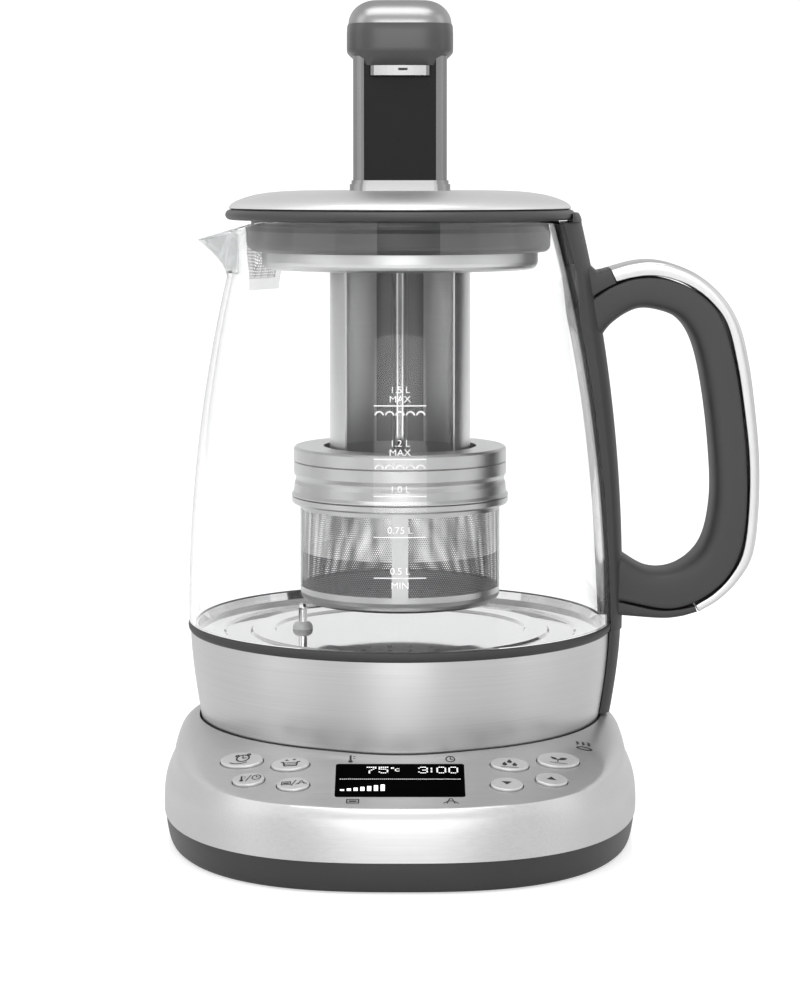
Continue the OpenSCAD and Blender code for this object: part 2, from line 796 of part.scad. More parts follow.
tab_travel = 2;
module release_tab() {
  color(bright) {
    translate([0, 0, tab_z])
      linear_extrude(3.6)
        polygon(concat([[-tab_half, -15], [-tab_half, -20]],
          [for (i = [-4 : 4]) [i * (tab_half - 1.2) / 4, -21.6 - 0.6 * cos(22 * i)]],
          [[tab_half, -20], [tab_half, -15]]));
    translate([-6, -15 - eps, tab_z]) cube([12, 3, 3.6]);
  }
}

// ---------- lift drive ----------

gear_teeth = 14;
gear_module = 1;
gear_r = gear_teeth * gear_module / 2;
rack_pitch_y = 6.1;
gear_y = rack_pitch_y + gear_r;
gear_z = 224.6;
tooth_pitch = PI * gear_module;
backlash = 0.3;

module lift_motor() {
  color("darkgray")
    difference() {
      union() {
        translate([4, gear_y, gear_z]) rotate([0, 90, 0]) cylinder(r = 8, h = 30);
        translate([9, gear_y - 6, 214.5]) cube([22, 12, 5]);
      }
      translate([0, gear_y, gear_z]) rotate([0, 90, 0]) cylinder(r = 1.55, h = 10.3);
    }
}

// half width of a gear tooth, as an angle, at radius r
function tooth_angle(r) = let (
    flat = (tooth_pitch / 2 - backlash) / 2 / gear_r * 180 / PI
  ) flat - (r - gear_r) / gear_r * 180 / PI * tan(20) * 1.25;
module gear_outline() {
  root = gear_r - 1.15;
  tip = gear_r + 0.8;
  polygon([for (i = [0 : gear_teeth - 1]) for (s = [[-1, root], [-1, gear_r], [-1, tip],
                                                    [1, tip], [1, gear_r], [1, root]])
    let (a = 360 * i / gear_teeth + s[0] * tooth_angle(s[1])) [s[1] * cos(a), s[1] * sin(a)]]);
}
module drive_gear() {
  color("ivory")
    translate([0, gear_y, gear_z])
      rotate([0, 90, 0]) {
        // a gap between two teeth faces the rack at -Y
        rotate([0, 0, -90 + 180 / gear_teeth])
          translate([0, 0, -2]) linear_extrude(4) gear_outline();
        translate([0, 0, -4]) cylinder(r = 1.5, h = 14);
        translate([0, 0, 2 - eps]) cylinder(r = 3, h = 1.4);
      }
}

rack_z0 = gear_z - lift_travel - 7;
rack_z1 = gear_z + 7;
module lift_rack() {
  color("ivory")
    difference() {
      union() {
        translate([-2, 1, rack_z0]) cube([4, 4.1, rack_z1 - rack_z0]);
        for (i = [ceil((rack_z0 + 1.5 - gear_z) / tooth_pitch)
                  : floor((rack_z1 - 1.5 - gear_z) / tooth_pitch)])
          translate([-2, 0, gear_z + i * tooth_pitch])
            rotate([90, 0, 90]) linear_extrude(4)
              polygon([[5, -1.05], [rack_back - 0.1, -0.36], [rack_back - 0.1, 0.36], [5, 1.05]]);
      }
      translate([0, 0, rack_z0 - 1]) cylinder(r = rod_r + 0.02, h = rack_z1 - rack_z0 + 2);
    }
}

rod_z0 = 123.5;
rod_z1 = 236;
module lift_rod() {
  color(bright) translate([0, 0, rod_z0]) cylinder(r = rod_r, h = rod_z1 - rod_z0);
}

hub_r = 24.6;
cover_in = 28.5;
module carrier() {
  color(steel)
    difference() {
      union() {
        translate([0, 0, 123.5]) cylinder(r = hub_r, h = 2);
        translate([0, 0, 123.5]) cylinder(r = 7, h = 5);
        translate([0, 0, 123.5])
          rotate_extrude(angle = 76, start = 232) translate([hub_r - 2, 0]) square([cover_in - hub_r + 1.9, 4]);
      }
      translate([0, 0, 120]) cylinder(r = rod_r + 0.02, h = 20);
      for (a = [20, 90, 160])
        rotate([0, 0, a]) translate([15.5, 0, 120]) cylinder(r = 5, h = 10);
    }
}

// ---------- basket ----------

lug_angles = [30, 150, 270];
module basket_cover() {
  t = 0.8;
  color(steel) {
    rotate_extrude()
      polygon([[cover_in, 140], [39, 140], [39.75, 139.2], [39.75, 134.9], [39.3, 134.6],
        [39.75, 134.3], [39.75, 130.2], [38.9, 128.6], [38.9, 127.8], [39.5, 126.4], [39.7, 123.4],
        [40.5, 122.3], [40.5, 121.9], [39.4, 121.9], [38.8, 123.2], [38.6, 126.4], [38, 127.8],
        [38, 128.8], [38.9, 130.6], [38.9, 139.2], [cover_in + t, 139.2], [cover_in + t, 122.6],
        [cover_in, 122.6]]);
    for (a = lug_angles)
      rotate([0, 0, a])
        rotate_extrude(angle = 14, start = -7) translate([36.9, 122.6]) square([2.1, 1.6]);
  }
}

window_z0 = 88.2;
window_z1 = 117;
module basket_cup() {
  wall_in = basket_r - 0.8;
  color(steel) {
    difference() {
      rotate_extrude()
        polygon(concat([[0, basket_z], [basket_r - 4, basket_z]],
          [for (a = [-90 : 22.5 : 0]) [basket_r - 4 + 4 * cos(a), basket_z + 4 + 4 * sin(a)]],
          [[basket_r, 118.6], [40, 119], [40.4, 119.6], [40.4, 121.4], [40, 121.7], [36.4, 121.7],
           [36.4, 127], [35.6, 127], [35.6, 120.6], [wall_in, 119.6]],
          [for (a = [0 : -22.5 : -90]) [basket_r - 4 + 3.2 * cos(a), basket_z + 4 + 3.2 * sin(a)]],
          [[0, basket_z + 0.8]]));
      span = 90 - 2 * asin(bar_w / 2 / basket_r);
      for (q = [0 : 3])
        rotate_extrude(angle = span, start = -45 + 90 * q - span / 2)
          translate([30, window_z0]) square([15, window_z1 - window_z0]);
      for (r = [8, 16, 24]) for (a = [0 : 360 / (r * 0.75) : 359])
        rotate([0, 0, a]) translate([r, 0, 80]) cylinder(r = 1.2, h = 6);
    }
    for (a = lug_angles)
      rotate([0, 0, a])
        rotate_extrude(angle = 10, start = -5) translate([36.2, 124.5]) square([1.7, 2]);
  }
}
module basket_screen() {
  color("gray") ring(basket_r - 0.8, basket_r - 1.15, 87, 118.6);
}

base_shell();
base_skirt();
bottom_plate();
foot_ring();
base_screws();
connector_post();
display_window();
display_module();
control_board();
power_board();
cord_inlet();
button(0);  // alarm_button
button(1);  // basket_button
button(2);  // temperature_button
button(3);  // tea_button
button(4);  // boil_button
button(5);  // heat_button
button(6);  // down_button
button(7);  // up_button
coupler_collar();
glass_body();
jug_cup();
seam_gasket();
heating_plate();
heating_element();
jug_connector();
cup_floor();
temperature_probe();
probe_grommet();
handle_spine();
handle_grip();
handle_trim();
handle_foot();
rim_clip();
jug_screws();
filter_frame();
filter_screen();
lid_cover();
lid_rim();
lid_seal();
lid_pan();
guide_sleeve();
lift_chassis();
tower_body();
tower_front();
tower_foot();
head_shell();
head_cap();
lift_motor();
lid_screws();
release_tab();
drive_gear();
lift_rod();
lift_rack();
carrier();
basket_cover();
basket_cup();
basket_screen();
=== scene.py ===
# %% [markdown]
# # An automatic tea maker
#
# The solids come packed from the construction model: a glass jug on a powered base,
# with a lid that lowers a tea basket into the water. This script gives every surface
# its finish, and models again, with finer meshes, the forms that the solids hold as
# flat facets: the brushed casing, the glass, the handle, the head and the buttons.
# It loads the solids first, because some pieces are laid on them.

import math

import bpy
from mathutils import Matrix, Vector
from mathutils.bvhtree import BVHTree


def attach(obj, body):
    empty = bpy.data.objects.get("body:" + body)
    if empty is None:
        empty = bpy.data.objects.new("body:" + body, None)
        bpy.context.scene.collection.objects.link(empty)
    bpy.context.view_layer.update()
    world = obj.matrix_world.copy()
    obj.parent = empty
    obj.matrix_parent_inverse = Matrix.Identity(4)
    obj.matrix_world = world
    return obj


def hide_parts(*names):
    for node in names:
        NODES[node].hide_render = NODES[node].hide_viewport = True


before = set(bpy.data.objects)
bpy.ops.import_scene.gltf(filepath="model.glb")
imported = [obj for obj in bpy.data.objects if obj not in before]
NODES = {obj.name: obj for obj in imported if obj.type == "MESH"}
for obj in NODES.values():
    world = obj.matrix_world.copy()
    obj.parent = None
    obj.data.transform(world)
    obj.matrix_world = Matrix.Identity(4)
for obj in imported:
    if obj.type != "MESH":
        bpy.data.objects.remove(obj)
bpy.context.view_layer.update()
SCENE = bpy.context.scene
MM = 0.001

# %% [markdown]
# ## The camera
#
# The picture was taken from in front, a little above the lid, with a long lens. A lens
# shift keeps upright edges almost upright, as the photographer's did, and a slight tilt
# does the rest. The lens is given in pixels of the picture, because that is how it was
# measured, and turned into millimetres of Blender's 36 mm sensor.

# %% Camera
LENS_PX = 2708
PHOTO_LONG_SIDE = 1000
SENSOR = 36

lens = bpy.data.cameras.new("camera")
lens.sensor_width = SENSOR
lens.lens = SENSOR * LENS_PX / PHOTO_LONG_SIDE
lens.shift_y = -0.18
camera = bpy.data.objects.new("camera", lens)
camera.location = (0, -1.0094, 0.2407)
camera.rotation_euler = (math.radians(90 - 3.051), 0, 0)
SCENE.collection.objects.link(camera)
SCENE.camera = camera
print("lens:", round(lens.lens, 1), "mm")

# %% [markdown]
# ## Sums that make nodes
#
# A finish is a sum of patterns: so much of the brush lines, less the mask of a ring.
# Blender writes sums as chains of Math nodes, which are slow to read. This small class
# holds one socket and turns Python's own operators into those nodes, and one method of
# the finish makes every other node from its type, its settings and its sockets.

# %% Wires and finishes
class Wire:
    """A socket that takes part in Python sums."""

    def __init__(self, finish, socket):
        self.finish, self.socket = finish, socket

    def maths(self, operation, *values):
        return self.finish.node("ShaderNodeMath", {"operation": operation},
                                dict(enumerate(values)))

    def __add__(self, other):
        return self.maths("ADD", self, other)

    def __sub__(self, other):
        return self.maths("SUBTRACT", self, other)

    def __rsub__(self, other):
        return self.maths("SUBTRACT", other, self)

    def __mul__(self, other):
        return self.maths("MULTIPLY", self, other)

    __radd__, __rmul__ = __add__, __mul__


class Finish:
    """One material. Constants go straight to its shader, patterns through wires."""

    def __init__(self, name, constants, tree=None):
        if tree is None:
            self.material = bpy.data.materials.new(name)
            self.material.use_nodes = True
            tree = self.material.node_tree
            self.shader = tree.nodes["Principled BSDF"]
            self.feed(self.shader, constants)
        self.tree = tree

    def feed(self, node, sockets):
        for key, value in sockets.items():
            if isinstance(value, Wire):
                self.tree.links.new(value.socket, node.inputs[key])
            else:
                node.inputs[key].default_value = value

    def node(self, kind, settings, sockets, output=0):
        made = self.tree.nodes.new(kind)
        for key, value in settings.items():
            if key == "stops":
                ramp = made.color_ramp
                while len(ramp.elements) < len(value):
                    ramp.elements.new(0.5)
                for element, (place, grey) in zip(ramp.elements, value):
                    element.position, element.color = place, (grey, grey, grey, 1)
            else:
                setattr(made, key, value)
        self.feed(made, sockets)
        return Wire(self, made.outputs[output])

    def vary(self, sockets):
        self.feed(self.shader, sockets)

    def place(self):
        return self.node("ShaderNodeTexCoord", {}, {}, "Object")

    def noise(self, stretch, detail=2):
        """Noise stretched along the axes, in cycles per metre."""
        spot = self.node("ShaderNodeVectorMath", {"operation": "MULTIPLY"},
                         {0: self.place(), 1: stretch})
        return self.node("ShaderNodeTexNoise", {},
                         {"Vector": spot, "Scale": 1.0, "Detail": detail})

    def along(self, axis):
        """One coordinate of the surface point, in metres."""
        return self.node("ShaderNodeSeparateXYZ", {}, {0: self.place()}, axis)

    def from_axis(self):
        """The surface point's distance from the machine's upright axis, in metres."""
        flat = self.node("ShaderNodeVectorMath", {"operation": "MULTIPLY"},
                         {0: self.place(), 1: (1, 1, 0)})
        return self.node("ShaderNodeVectorMath", {"operation": "LENGTH"}, {0: flat}, "Value")

    def blend(self, share, first, second):
        return self.node("ShaderNodeMix", {"data_type": "RGBA"},
                         {0: share, 6: first, 7: second}, 2)

    def bump(self, height, depth):
        """A normal bent by a height pattern; depth is in metres."""
        self.vary({"Normal": self.node("ShaderNodeBump", {},
                                       {"Height": height, "Distance": depth, "Strength": 1.0})})


def grey(value, warm=0.0):
    return (value * (1 + warm), value, value * (1 - warm), 1)


# %% [markdown]
# ## The finishes
#
# Nearly everything on the real machine is one of three things: brushed steel, polished
# steel or fine-grained dark plastic. Brushing is noise stretched far along the stroke,
# which varies the roughness and a shallow bump, so a highlight spreads across the
# lines. Each piece has its own stroke direction, so the grain follows how it was made:
# round the axis on the cup, level on the casing.

# %% Brushed and polished steel
def brushed(name, tone, stretch, rough=0.3, spread=0.14, groove=2e-6, contrast=0.16, dark=None):
    """dark, if given, makes from the finish the mask of a part that is painted darker: painted
    shade on the basket, painted reflection on the sleeve.
    """
    made = Finish(name, {"Metallic": 1.0})
    lines = made.noise(stretch, 3)
    clouds = made.noise((30, 30, 22), 2)
    mixed = lines * 0.7 + clouds * 0.3
    colour = made.blend(mixed, grey(tone * (1 - contrast)), grey(tone * (1 + contrast)))
    made.vary({
        "Base Color": made.blend(dark(made), colour, grey(tone * 0.3)) if dark else colour,
        "Roughness": lines * spread + (rough - spread / 2),
    })
    made.bump(lines, groove)
    return made


ROUND_STROKE = (14, 14, 2600)
LEVEL_STROKE = (16, 1900, 1900)
casing_steel = brushed("casing_steel", 0.58, LEVEL_STROKE, 0.42)
cup_steel = brushed("cup_steel", 0.54, ROUND_STROKE, 0.33)
sheet_steel = brushed("sheet_steel", 0.68, (900, 900, 900), 0.25, 0.1, 1e-6, 0.06)
pan_steel = brushed("pan_steel", 0.55, ROUND_STROKE, 0.38, 0.1, 1e-6, 0.06)
lid_steel = brushed("lid_steel", 0.72, (700, 700, 2600), 0.45, 0.08, 1e-6, 0.05)
screw_steel = brushed("screw_steel", 0.4, (1500, 1500, 300), 0.35)


# dark, if given, masks a part painted darker; on the rod it is a painted reflection.
def polished(name, tone, rough, dark=None):
    made = Finish(name, {"Metallic": 1.0})
    haze = made.noise((60, 60, 60), 3)
    colour = made.blend(haze, grey(tone * 0.96), grey(tone))
    made.vary({"Base Color": made.blend(dark(made), colour, grey(tone * 0.3)) if dark else colour,
               "Roughness": haze * 0.05 + rough})
    return made


trim_steel = polished("trim_steel", 0.62, 0.26)
cap_steel = polished("cap_steel", 0.34, 0.3)
probe_steel = polished("probe_steel", 0.7, 0.12)

# %% [markdown]
# Three pieces have a darker part, a mask made from the surface point's own coordinates: painted
# reflection on two and painted shade on one. The sleeve has a painted reflection, a dark strip
# inside, behind the rod, which shows through the slot. The rod has a painted reflection, a fine
# dark line down its middle, and the basket painted shade on its underside.

# %% Sleeve, rod and basket
# Half widths of the sleeve's painted reflection strip and of the rod's painted reflection line.
SLEEVE_MID_R, STRIP_HALF, LINE_HALF = 25.85 * MM, 9 * MM, 0.7 * MM
BASKET_FLOOR = min(corner[2] for corner in NODES["basket_cup"].bound_box) + 0.6 * MM


# A painted reflection: a dark strip inside the sleeve, behind the rod.
def sleeve_painted_reflection(made):
    across, reach = made.along("X"), made.from_axis()
    return (across.maths("COMPARE", across, 0.0, STRIP_HALF)
            * reach.maths("LESS_THAN", reach, SLEEVE_MID_R))


# A painted reflection: a fine dark line down the rod's middle.
def rod_painted_reflection(made):
    across = made.along("X")
    return across.maths("COMPARE", across, 0.0, LINE_HALF)


# Painted shade: the basket's floor face and below are painted darker.
def underside(made):
    upward = made.along("Z")
    return upward.maths("LESS_THAN", upward, BASKET_FLOOR)


sleeve_steel = brushed("sleeve_steel", 0.55, ROUND_STROKE, 0.3, 0.1, 1e-6, 0.1, sleeve_painted_reflection)
rod_steel = polished("rod_steel", 0.8, 0.05, rod_painted_reflection)
basket_steel = brushed("basket_steel", 0.43, ROUND_STROKE, 0.34, 0.06, 3e-7, 0.05, underside)

# %% [markdown]
# The heating plate is a pressed disc, turned after pressing: its marks are rings round
# the axis. Noise along the distance from the axis alone gives rings of uneven width.

# %% Heating plate
plate_steel = Finish("plate_steel", {"Metallic": 1.0})
rings = plate_steel.node("ShaderNodeTexNoise", {"noise_dimensions": "1D"},
                         {"W": plate_steel.from_axis() * 2200.0, "Scale": 1.0, "Detail": 3.0})
plate_steel.vary({"Base Color": plate_steel.blend(rings, grey(0.42), grey(0.58)),
                  "Roughness": rings * 0.06 + 0.02})
plate_steel.bump(rings, 5e-7)

# %% [markdown]
# The basket's fine mesh is painted with the shaded inside that the eye finds through it: painted
# shade, dark below a set height and lighter above, with faint upright streaks of painted shade
# from the far side.

# %% Mesh
MESH_SHADE_Z = 101 * MM
mesh_steel = Finish("mesh_steel", {"Metallic": 0.6, "Roughness": 0.42})
# Painted shade: upright streaks above MESH_SHADE_Z, a dark band below it.
painted_streaks = mesh_steel.noise((230, 230, 26), 2) * 3.2 - 1.1
mesh_z = mesh_steel.along("Z")
mesh_steel.vary({"Base Color": mesh_steel.blend(
    mesh_z.maths("LESS_THAN", mesh_z, MESH_SHADE_Z),
    mesh_steel.blend(painted_streaks, grey(0.2), grey(0.62)), grey(0.12))})

# %% [markdown]
# Dark plastic leaves the mould with a spark-eroded grain. It is far too fine to see as
# bumps from here, but it spreads the highlight, so a fine noise drives a small bump and
# the roughness. Rubber and silicone use the same recipe with other numbers.

# %% Plastics and rubber
def moulded(name, tone, rough=0.45, grain=2600, depth=6e-6, warm=0.0, **constants):
    made = Finish(name, {key.replace("_", " "): value for key, value in constants.items()})
    fine = made.noise((grain, grain, grain), 2)
    broad = made.noise((40, 40, 40), 2)
    made.vary({"Base Color": made.blend(broad, grey(tone * 0.92, warm), grey(tone * 1.08, warm)),
               "Roughness": fine * 0.14 + (rough - 0.07)})
    made.bump(fine, depth)
    return made


dark_plastic = moulded("dark_plastic", 0.044)
grip_plastic = moulded("grip_plastic", 0.038, 0.5)
skirt_plastic = moulded("skirt_plastic", 0.026, 0.42)
head_plastic = moulded("head_plastic", 0.06, 0.32)
black_plastic = moulded("black_plastic", 0.016, 0.35)
tower_face_plastic = moulded("tower_face_plastic", 0.006, 0.36, Specular_IOR_Level=0.15)
tower_side_paint = moulded("tower_side_paint", 0.24, 0.3, 3000, 2e-6, Metallic=0.6)
seal_rubber = moulded("seal_rubber", 0.03, 0.55)
lid_silicone = moulded("lid_silicone", 0.1, 0.4)
grommet_silicone = moulded("grommet_silicone", 0.5, 0.45)
board_green = moulded("board_green", 0.03, 0.5)
gear_plastic = moulded("gear_plastic", 0.7, 0.4, warm=0.05)
motor_cast = moulded("motor_cast", 0.4, 0.45, 900, 2e-5, Metallic=0.9)
button_plastic = moulded("button_plastic", 0.55, 0.34, 3000, 2e-6, Metallic=0.5)
display_black = moulded("display_black", 0.001, 0.2, 200, 1e-7, IOR=1.02, Emission_Strength=1.0)
display_module_dark = moulded("display_module_dark", 0.02, 0.5)

# %% [markdown]
# Two of them vary more. The silicone seal has a painted reflection: one block that is darker, off
# the middle.
# The display's window is black to the eye, but it glows for rays from steel that mirrors it: a
# painted reflection of the white room that the window itself mirrors, so the steel finds it
# bright.

# %% Seal and display window
SEAL_REFLECTION_MIDDLE, SEAL_REFLECTION_HALF = 3 * MM, 11 * MM
# Painted reflection on the seal: a darker block, off the middle.
across = lid_silicone.along("X")
seal_painted_reflection = across.maths("COMPARE", across, SEAL_REFLECTION_MIDDLE, SEAL_REFLECTION_HALF)
lid_silicone.vary({"Base Color": lid_silicone.blend(seal_painted_reflection, grey(0.1), grey(0.028))})
# Painted reflection: the window glows white for glossy rays only.
mirrored = display_black.node("ShaderNodeLightPath", {}, {}, "Is Glossy Ray")
display_black.vary({"Emission Color": display_black.blend(mirrored, grey(0.0), grey(0.55))})

# %% [markdown]
# Printing lies on a surface as a thin, matt film. Two inks are enough: white on the
# glass, black on the steel. The display's cells give their own light.

# %% Inks and light
white_ink = moulded("white_ink", 0.9, 0.6, 3000, 1e-7)
black_ink = moulded("black_ink", 0.012, 0.5, 3000, 1e-7)
lit_cell = moulded("lit_cell", 0.9, 0.5, 3000, 1e-7, Emission_Strength=0.8,
                   Emission_Color=(1, 1, 1, 1))

# %% [markdown]
# The jug is borosilicate glass, thick enough to show grey edges where the eye looks
# along the wall. The shader's own transmission bends the light as glass does. Lamps
# can't see through such glass, so for shadow rays alone it becomes plain transparent:
# what stands inside then gets its light. The pouring lip is drawn out thin, so part of
# its look is plain transparent too.

# %% Glass
SPOUT_FROM, SPOUT_ABOVE, LIP_CLEAR = 58.5 * MM, 205 * MM, 0.6
glass = Finish("jug_glass", {"Transmission Weight": 1.0, "IOR": 1.46, "Roughness": 0.0,
                             "Specular IOR Level": 0.15, "Specular Tint": grey(0.3),
                             "Base Color": (0.985, 0.99, 0.99, 1)})
shadow_ray = glass.node("ShaderNodeLightPath", {}, {}, "Is Shadow Ray")
across, upward = glass.along("X"), glass.along("Z")
thin_lip = (across.maths("LESS_THAN", across, -SPOUT_FROM)
            * upward.maths("GREATER_THAN", upward, SPOUT_ABOVE))
see_through = glass.node("ShaderNodeBsdfTransparent", {}, {"Color": (0.93, 0.94, 0.94, 1)})
glass_mix = glass.node("ShaderNodeMixShader", {},
                       {0: shadow_ray.maths("MAXIMUM", shadow_ray, thin_lip * LIP_CLEAR),
                        1: Wire(glass, glass.shader.outputs[0]), 2: see_through})
glass.feed(glass.tree.nodes["Material Output"], {"Surface": glass_mix})

# %% [markdown]
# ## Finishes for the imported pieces
#
# Most solids keep their own meshes and only get a finish. One table says which.

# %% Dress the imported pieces
DRESS = {
    casing_steel: ["base_shell"],
    cup_steel: ["jug_cup"],
    sleeve_steel: ["guide_sleeve"],
    basket_steel: ["basket_cover", "basket_cup", "basket_screen", "carrier"],
    sheet_steel: ["filter_frame"],
    pan_steel: ["lid_pan"],
    mesh_steel: ["filter_screen"],
    lid_steel: ["lid_cover"],
    cap_steel: ["head_cap", "tower_foot", "release_tab"],
    rod_steel: ["lift_rod"],
    trim_steel: ["handle_trim"],
    probe_steel: ["temperature_probe"],
    plate_steel: ["heating_plate"],
    screw_steel: ["base_screws", "jug_screws", "lid_screws"],
    motor_cast: ["heating_element", "lift_motor"],
    dark_plastic: ["lid_rim", "coupler_collar", "cup_floor"],
    head_plastic: ["head_shell"],
    grip_plastic: ["handle_spine", "handle_grip", "handle_foot"],
    skirt_plastic: ["base_skirt", "bottom_plate"],
    black_plastic: ["connector_post", "jug_connector", "cord_inlet", "rim_clip", "lift_chassis"],
    tower_face_plastic: ["tower_front"],
    tower_side_paint: ["tower_body"],
    seal_rubber: ["foot_ring", "seam_gasket"],
    lid_silicone: ["lid_seal"],
    grommet_silicone: ["probe_grommet"],
    board_green: ["control_board", "power_board"],
    gear_plastic: ["drive_gear", "lift_rack"],
    button_plastic: [name for name in NODES if name.endswith("_button")],
    display_black: ["display_window"],
    display_module_dark: ["display_module"],
    glass: ["glass_body"],
}
for finish, names in DRESS.items():
    for name in names:
        slots = NODES[name].data.materials
        slots.clear()
        slots.append(finish.material)
bare = set(NODES) - {name for names in DRESS.values() for name in names}
print("nodes without a finish:", sorted(bare))

# %% [markdown]
# ## Making pieces
#
# Every new piece goes the same way: points in millimetres and faces become a mesh, the mesh is
# shaded smooth except at real edges, and the piece is told its finish, its body and the solids it
# stands for.

# %% Mesh helpers
def piece(name, points, faces, finish, body, slot, stands_for=(), sharp=35):
    mesh = bpy.data.meshes.new(name)
    mesh.from_pydata([Vector(p) * MM for p in points], [], faces)
    mesh.validate()
    mesh.shade_smooth()
    mesh.set_sharp_from_angle(angle=math.radians(sharp))
    mesh.materials.append(finish.material)
    made = bpy.data.objects.new(name, mesh)
    SCENE.collection.objects.link(made)
    if stands_for:
        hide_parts(*stands_for)
    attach(made, body)
    return made


def skin(rings, hollow=False, ends=True):
    """Points and faces over a stack of rings with the same number of points."""
    n, m = len(rings[0]), len(rings)
    points = [p for ring in rings for p in ring]
    faces = [(j * n + i, j * n + (i + 1) % n, (j + 1) % m * n + (i + 1) % n, (j + 1) % m * n + i)
             for j in range(m if hollow else m - 1) for i in range(n)]
    if ends and not hollow:
        faces += [tuple(reversed(range(n))), tuple((m - 1) * n + i for i in range(n))]
    return points, faces


def mix(a, b, share):
    return a * (1 - share) + b * share


def ease(x):
    x = min(1, max(0, x))
    return x * x * (3 - 2 * x)


def power(value, exponent):
    return math.copysign(abs(value) ** exponent, value)


def span(first, last, count):
    return [mix(first, last, i / count) for i in range(count + 1)]


def full_turn(count):
    return [2 * math.pi * i / count for i in range(count)]


def curve_at(knots, u):
    """A point on the smooth curve through the knots, u from 0 to 1."""
    last = len(knots) - 1
    x = u * last
    i = min(last - 1, int(x))
    t = x - i
    p1, p2 = knots[i], knots[i + 1]
    p0 = knots[i - 1] if i else [2 * a - b for a, b in zip(p1, p2)]
    p3 = knots[i + 2] if i + 1 < last else [2 * b - a for a, b in zip(p1, p2)]
    return [0.5 * (2 * b + (c - a) * t + (2 * a - 5 * b + 4 * c - d) * t * t
                   + (3 * b - a - 3 * c + d) * t ** 3) for a, b, c, d in zip(p0, p1, p2, p3)]


# %% [markdown]
# ## The casing
#
# The real casing is one deep-drawn steel shell. Its plan is an ellipse at the back and
# a fuller curve in front. Its top is a round shoulder, cut off in front by the sloping
# panel. The solid holds the same functions with wide facets, which a brushed surface
# would show, so here they are sampled four times as finely. The holes for the buttons
# and the display are then cut with one Boolean.

# %% The casing's form
HALF, FRONT = 87, 114.2
CREASE_HALF, CREASE_FRONT, CREASE_REAR, CREASE_N = 83, 110.6, 83.6, 3
CREASE_Z, COLLAR_Z, SHOULDER_N = 28.6, 39.8, 2.2
FLAT_Z, FLAT_SLOPE, FLAT_HALF, BOW, LIFT, SOFT = 38.6, 0.282, 22, 0.002, 0.8, 0.7
SHOULDER_R, FLAT_Y = 74.6, -74.25
WELL_R, WELL_Z, SKIRT_Z = 75.2, 27.5, 10.8
DISPLAY_Y, DISPLAY_HOLE = -91.25, (44.5, 23.4, 1)


def plan_point(turn, half, front, rear, n):
    c, s = math.cos(turn), math.sin(turn)
    if s < 0:
        return half * power(c, 2 / n), front * power(s, 2 / n)
    return half * c, rear * s


def plan_radius(turn, half, front, rear, n):
    c, s = math.cos(turn), math.sin(turn)
    n, reach = (n, front) if s < 0 else (2, rear)
    return (abs(c / half) ** n + abs(s / reach) ** n) ** (-1 / n)


def top_height(x, y):
    """A round shoulder all the way round, cut off in front by the sloping panel."""
    edge = plan_radius(math.atan2(y, x), CREASE_HALF, CREASE_FRONT, CREASE_REAR, CREASE_N)
    share = min(1, max(0, (math.hypot(x, y) - SHOULDER_R) / (edge - SHOULDER_R)))
    shoulder = CREASE_Z + (COLLAR_Z - CREASE_Z) * (1 - share ** SHOULDER_N) ** (1 / SHOULDER_N)
    panel = (FLAT_Z + FLAT_SLOPE * (y - FLAT_Y) - BOW * max(0, abs(x) - FLAT_HALF) ** 2
             + LIFT * (1 - ease(share / 0.15)))
    return (shoulder + panel - math.hypot(shoulder - panel, SOFT)) / 2


def panel_normal(x, y, g=0.5):
    return Vector((top_height(x - g, y) - top_height(x + g, y),
                   top_height(x, y - g) - top_height(x, y + g), 2 * g)).normalized()


# %% The casing's skin
turns = full_turn(288)
APRON = [[SKIRT_Z, 0, 0, 2.65], [13.4, 0, 0.1, 2.67], [16, 0.1, 0.3, 2.7], [18.8, 0.35, 0.6, 2.75],
         [21.5, 0.8, 1, 2.8], [23.6, 1.5, 1.45, 2.85], [25.5, 2.4, 2, 2.9]]


def apron_ring(level):
    z, side, front, n = level
    return [(*plan_point(t, HALF - side, FRONT - front, HALF - side, n), z) for t in turns]


def top_ring(share):
    ring = []
    for t in turns:
        px, py = plan_point(t, CREASE_HALF, CREASE_FRONT, CREASE_REAR, CREASE_N)
        inner = WELL_R / math.hypot(px, py)
        x, y = mix(px * inner, px, share), mix(py * inner, py, share)
        ring.append((x, y, top_height(x, y)))
    return ring


def well_ring(radius, z):
    return [(radius * math.cos(t), radius * math.sin(t), z) for t in
            (math.atan2(*reversed(plan_point(t, CREASE_HALF, CREASE_FRONT, CREASE_REAR, CREASE_N)))
             for t in turns)]


casing_rings = [apron_ring(curve_at(APRON, u)) for u in span(0, 1, 14)]
casing_rings += [top_ring(s) for s in (1, 0.99, 0.975, 0.96, 0.94, 0.92, 0.89)]
casing_rings += [top_ring(s) for s in span(0.86, 0, 28)]
casing_rings += [well_ring(WELL_R, z) for z in (36, 32, WELL_Z)]
casing_rings += [well_ring(r, WELL_Z) for r in (60, 40, 15.2)]
casing = piece("casing", *skin(casing_rings, ends=False), casing_steel, "base", "brushed_casing",
               ["base_shell"])

# %% [markdown]
# The buttons are ovals that follow the panel, each turned a little towards the middle.
# A small table gives their places, sizes and turns. Each one's frame, with the panel's normal as
# its third axis, places the cutter and the button; its picture is laid later at the same place.

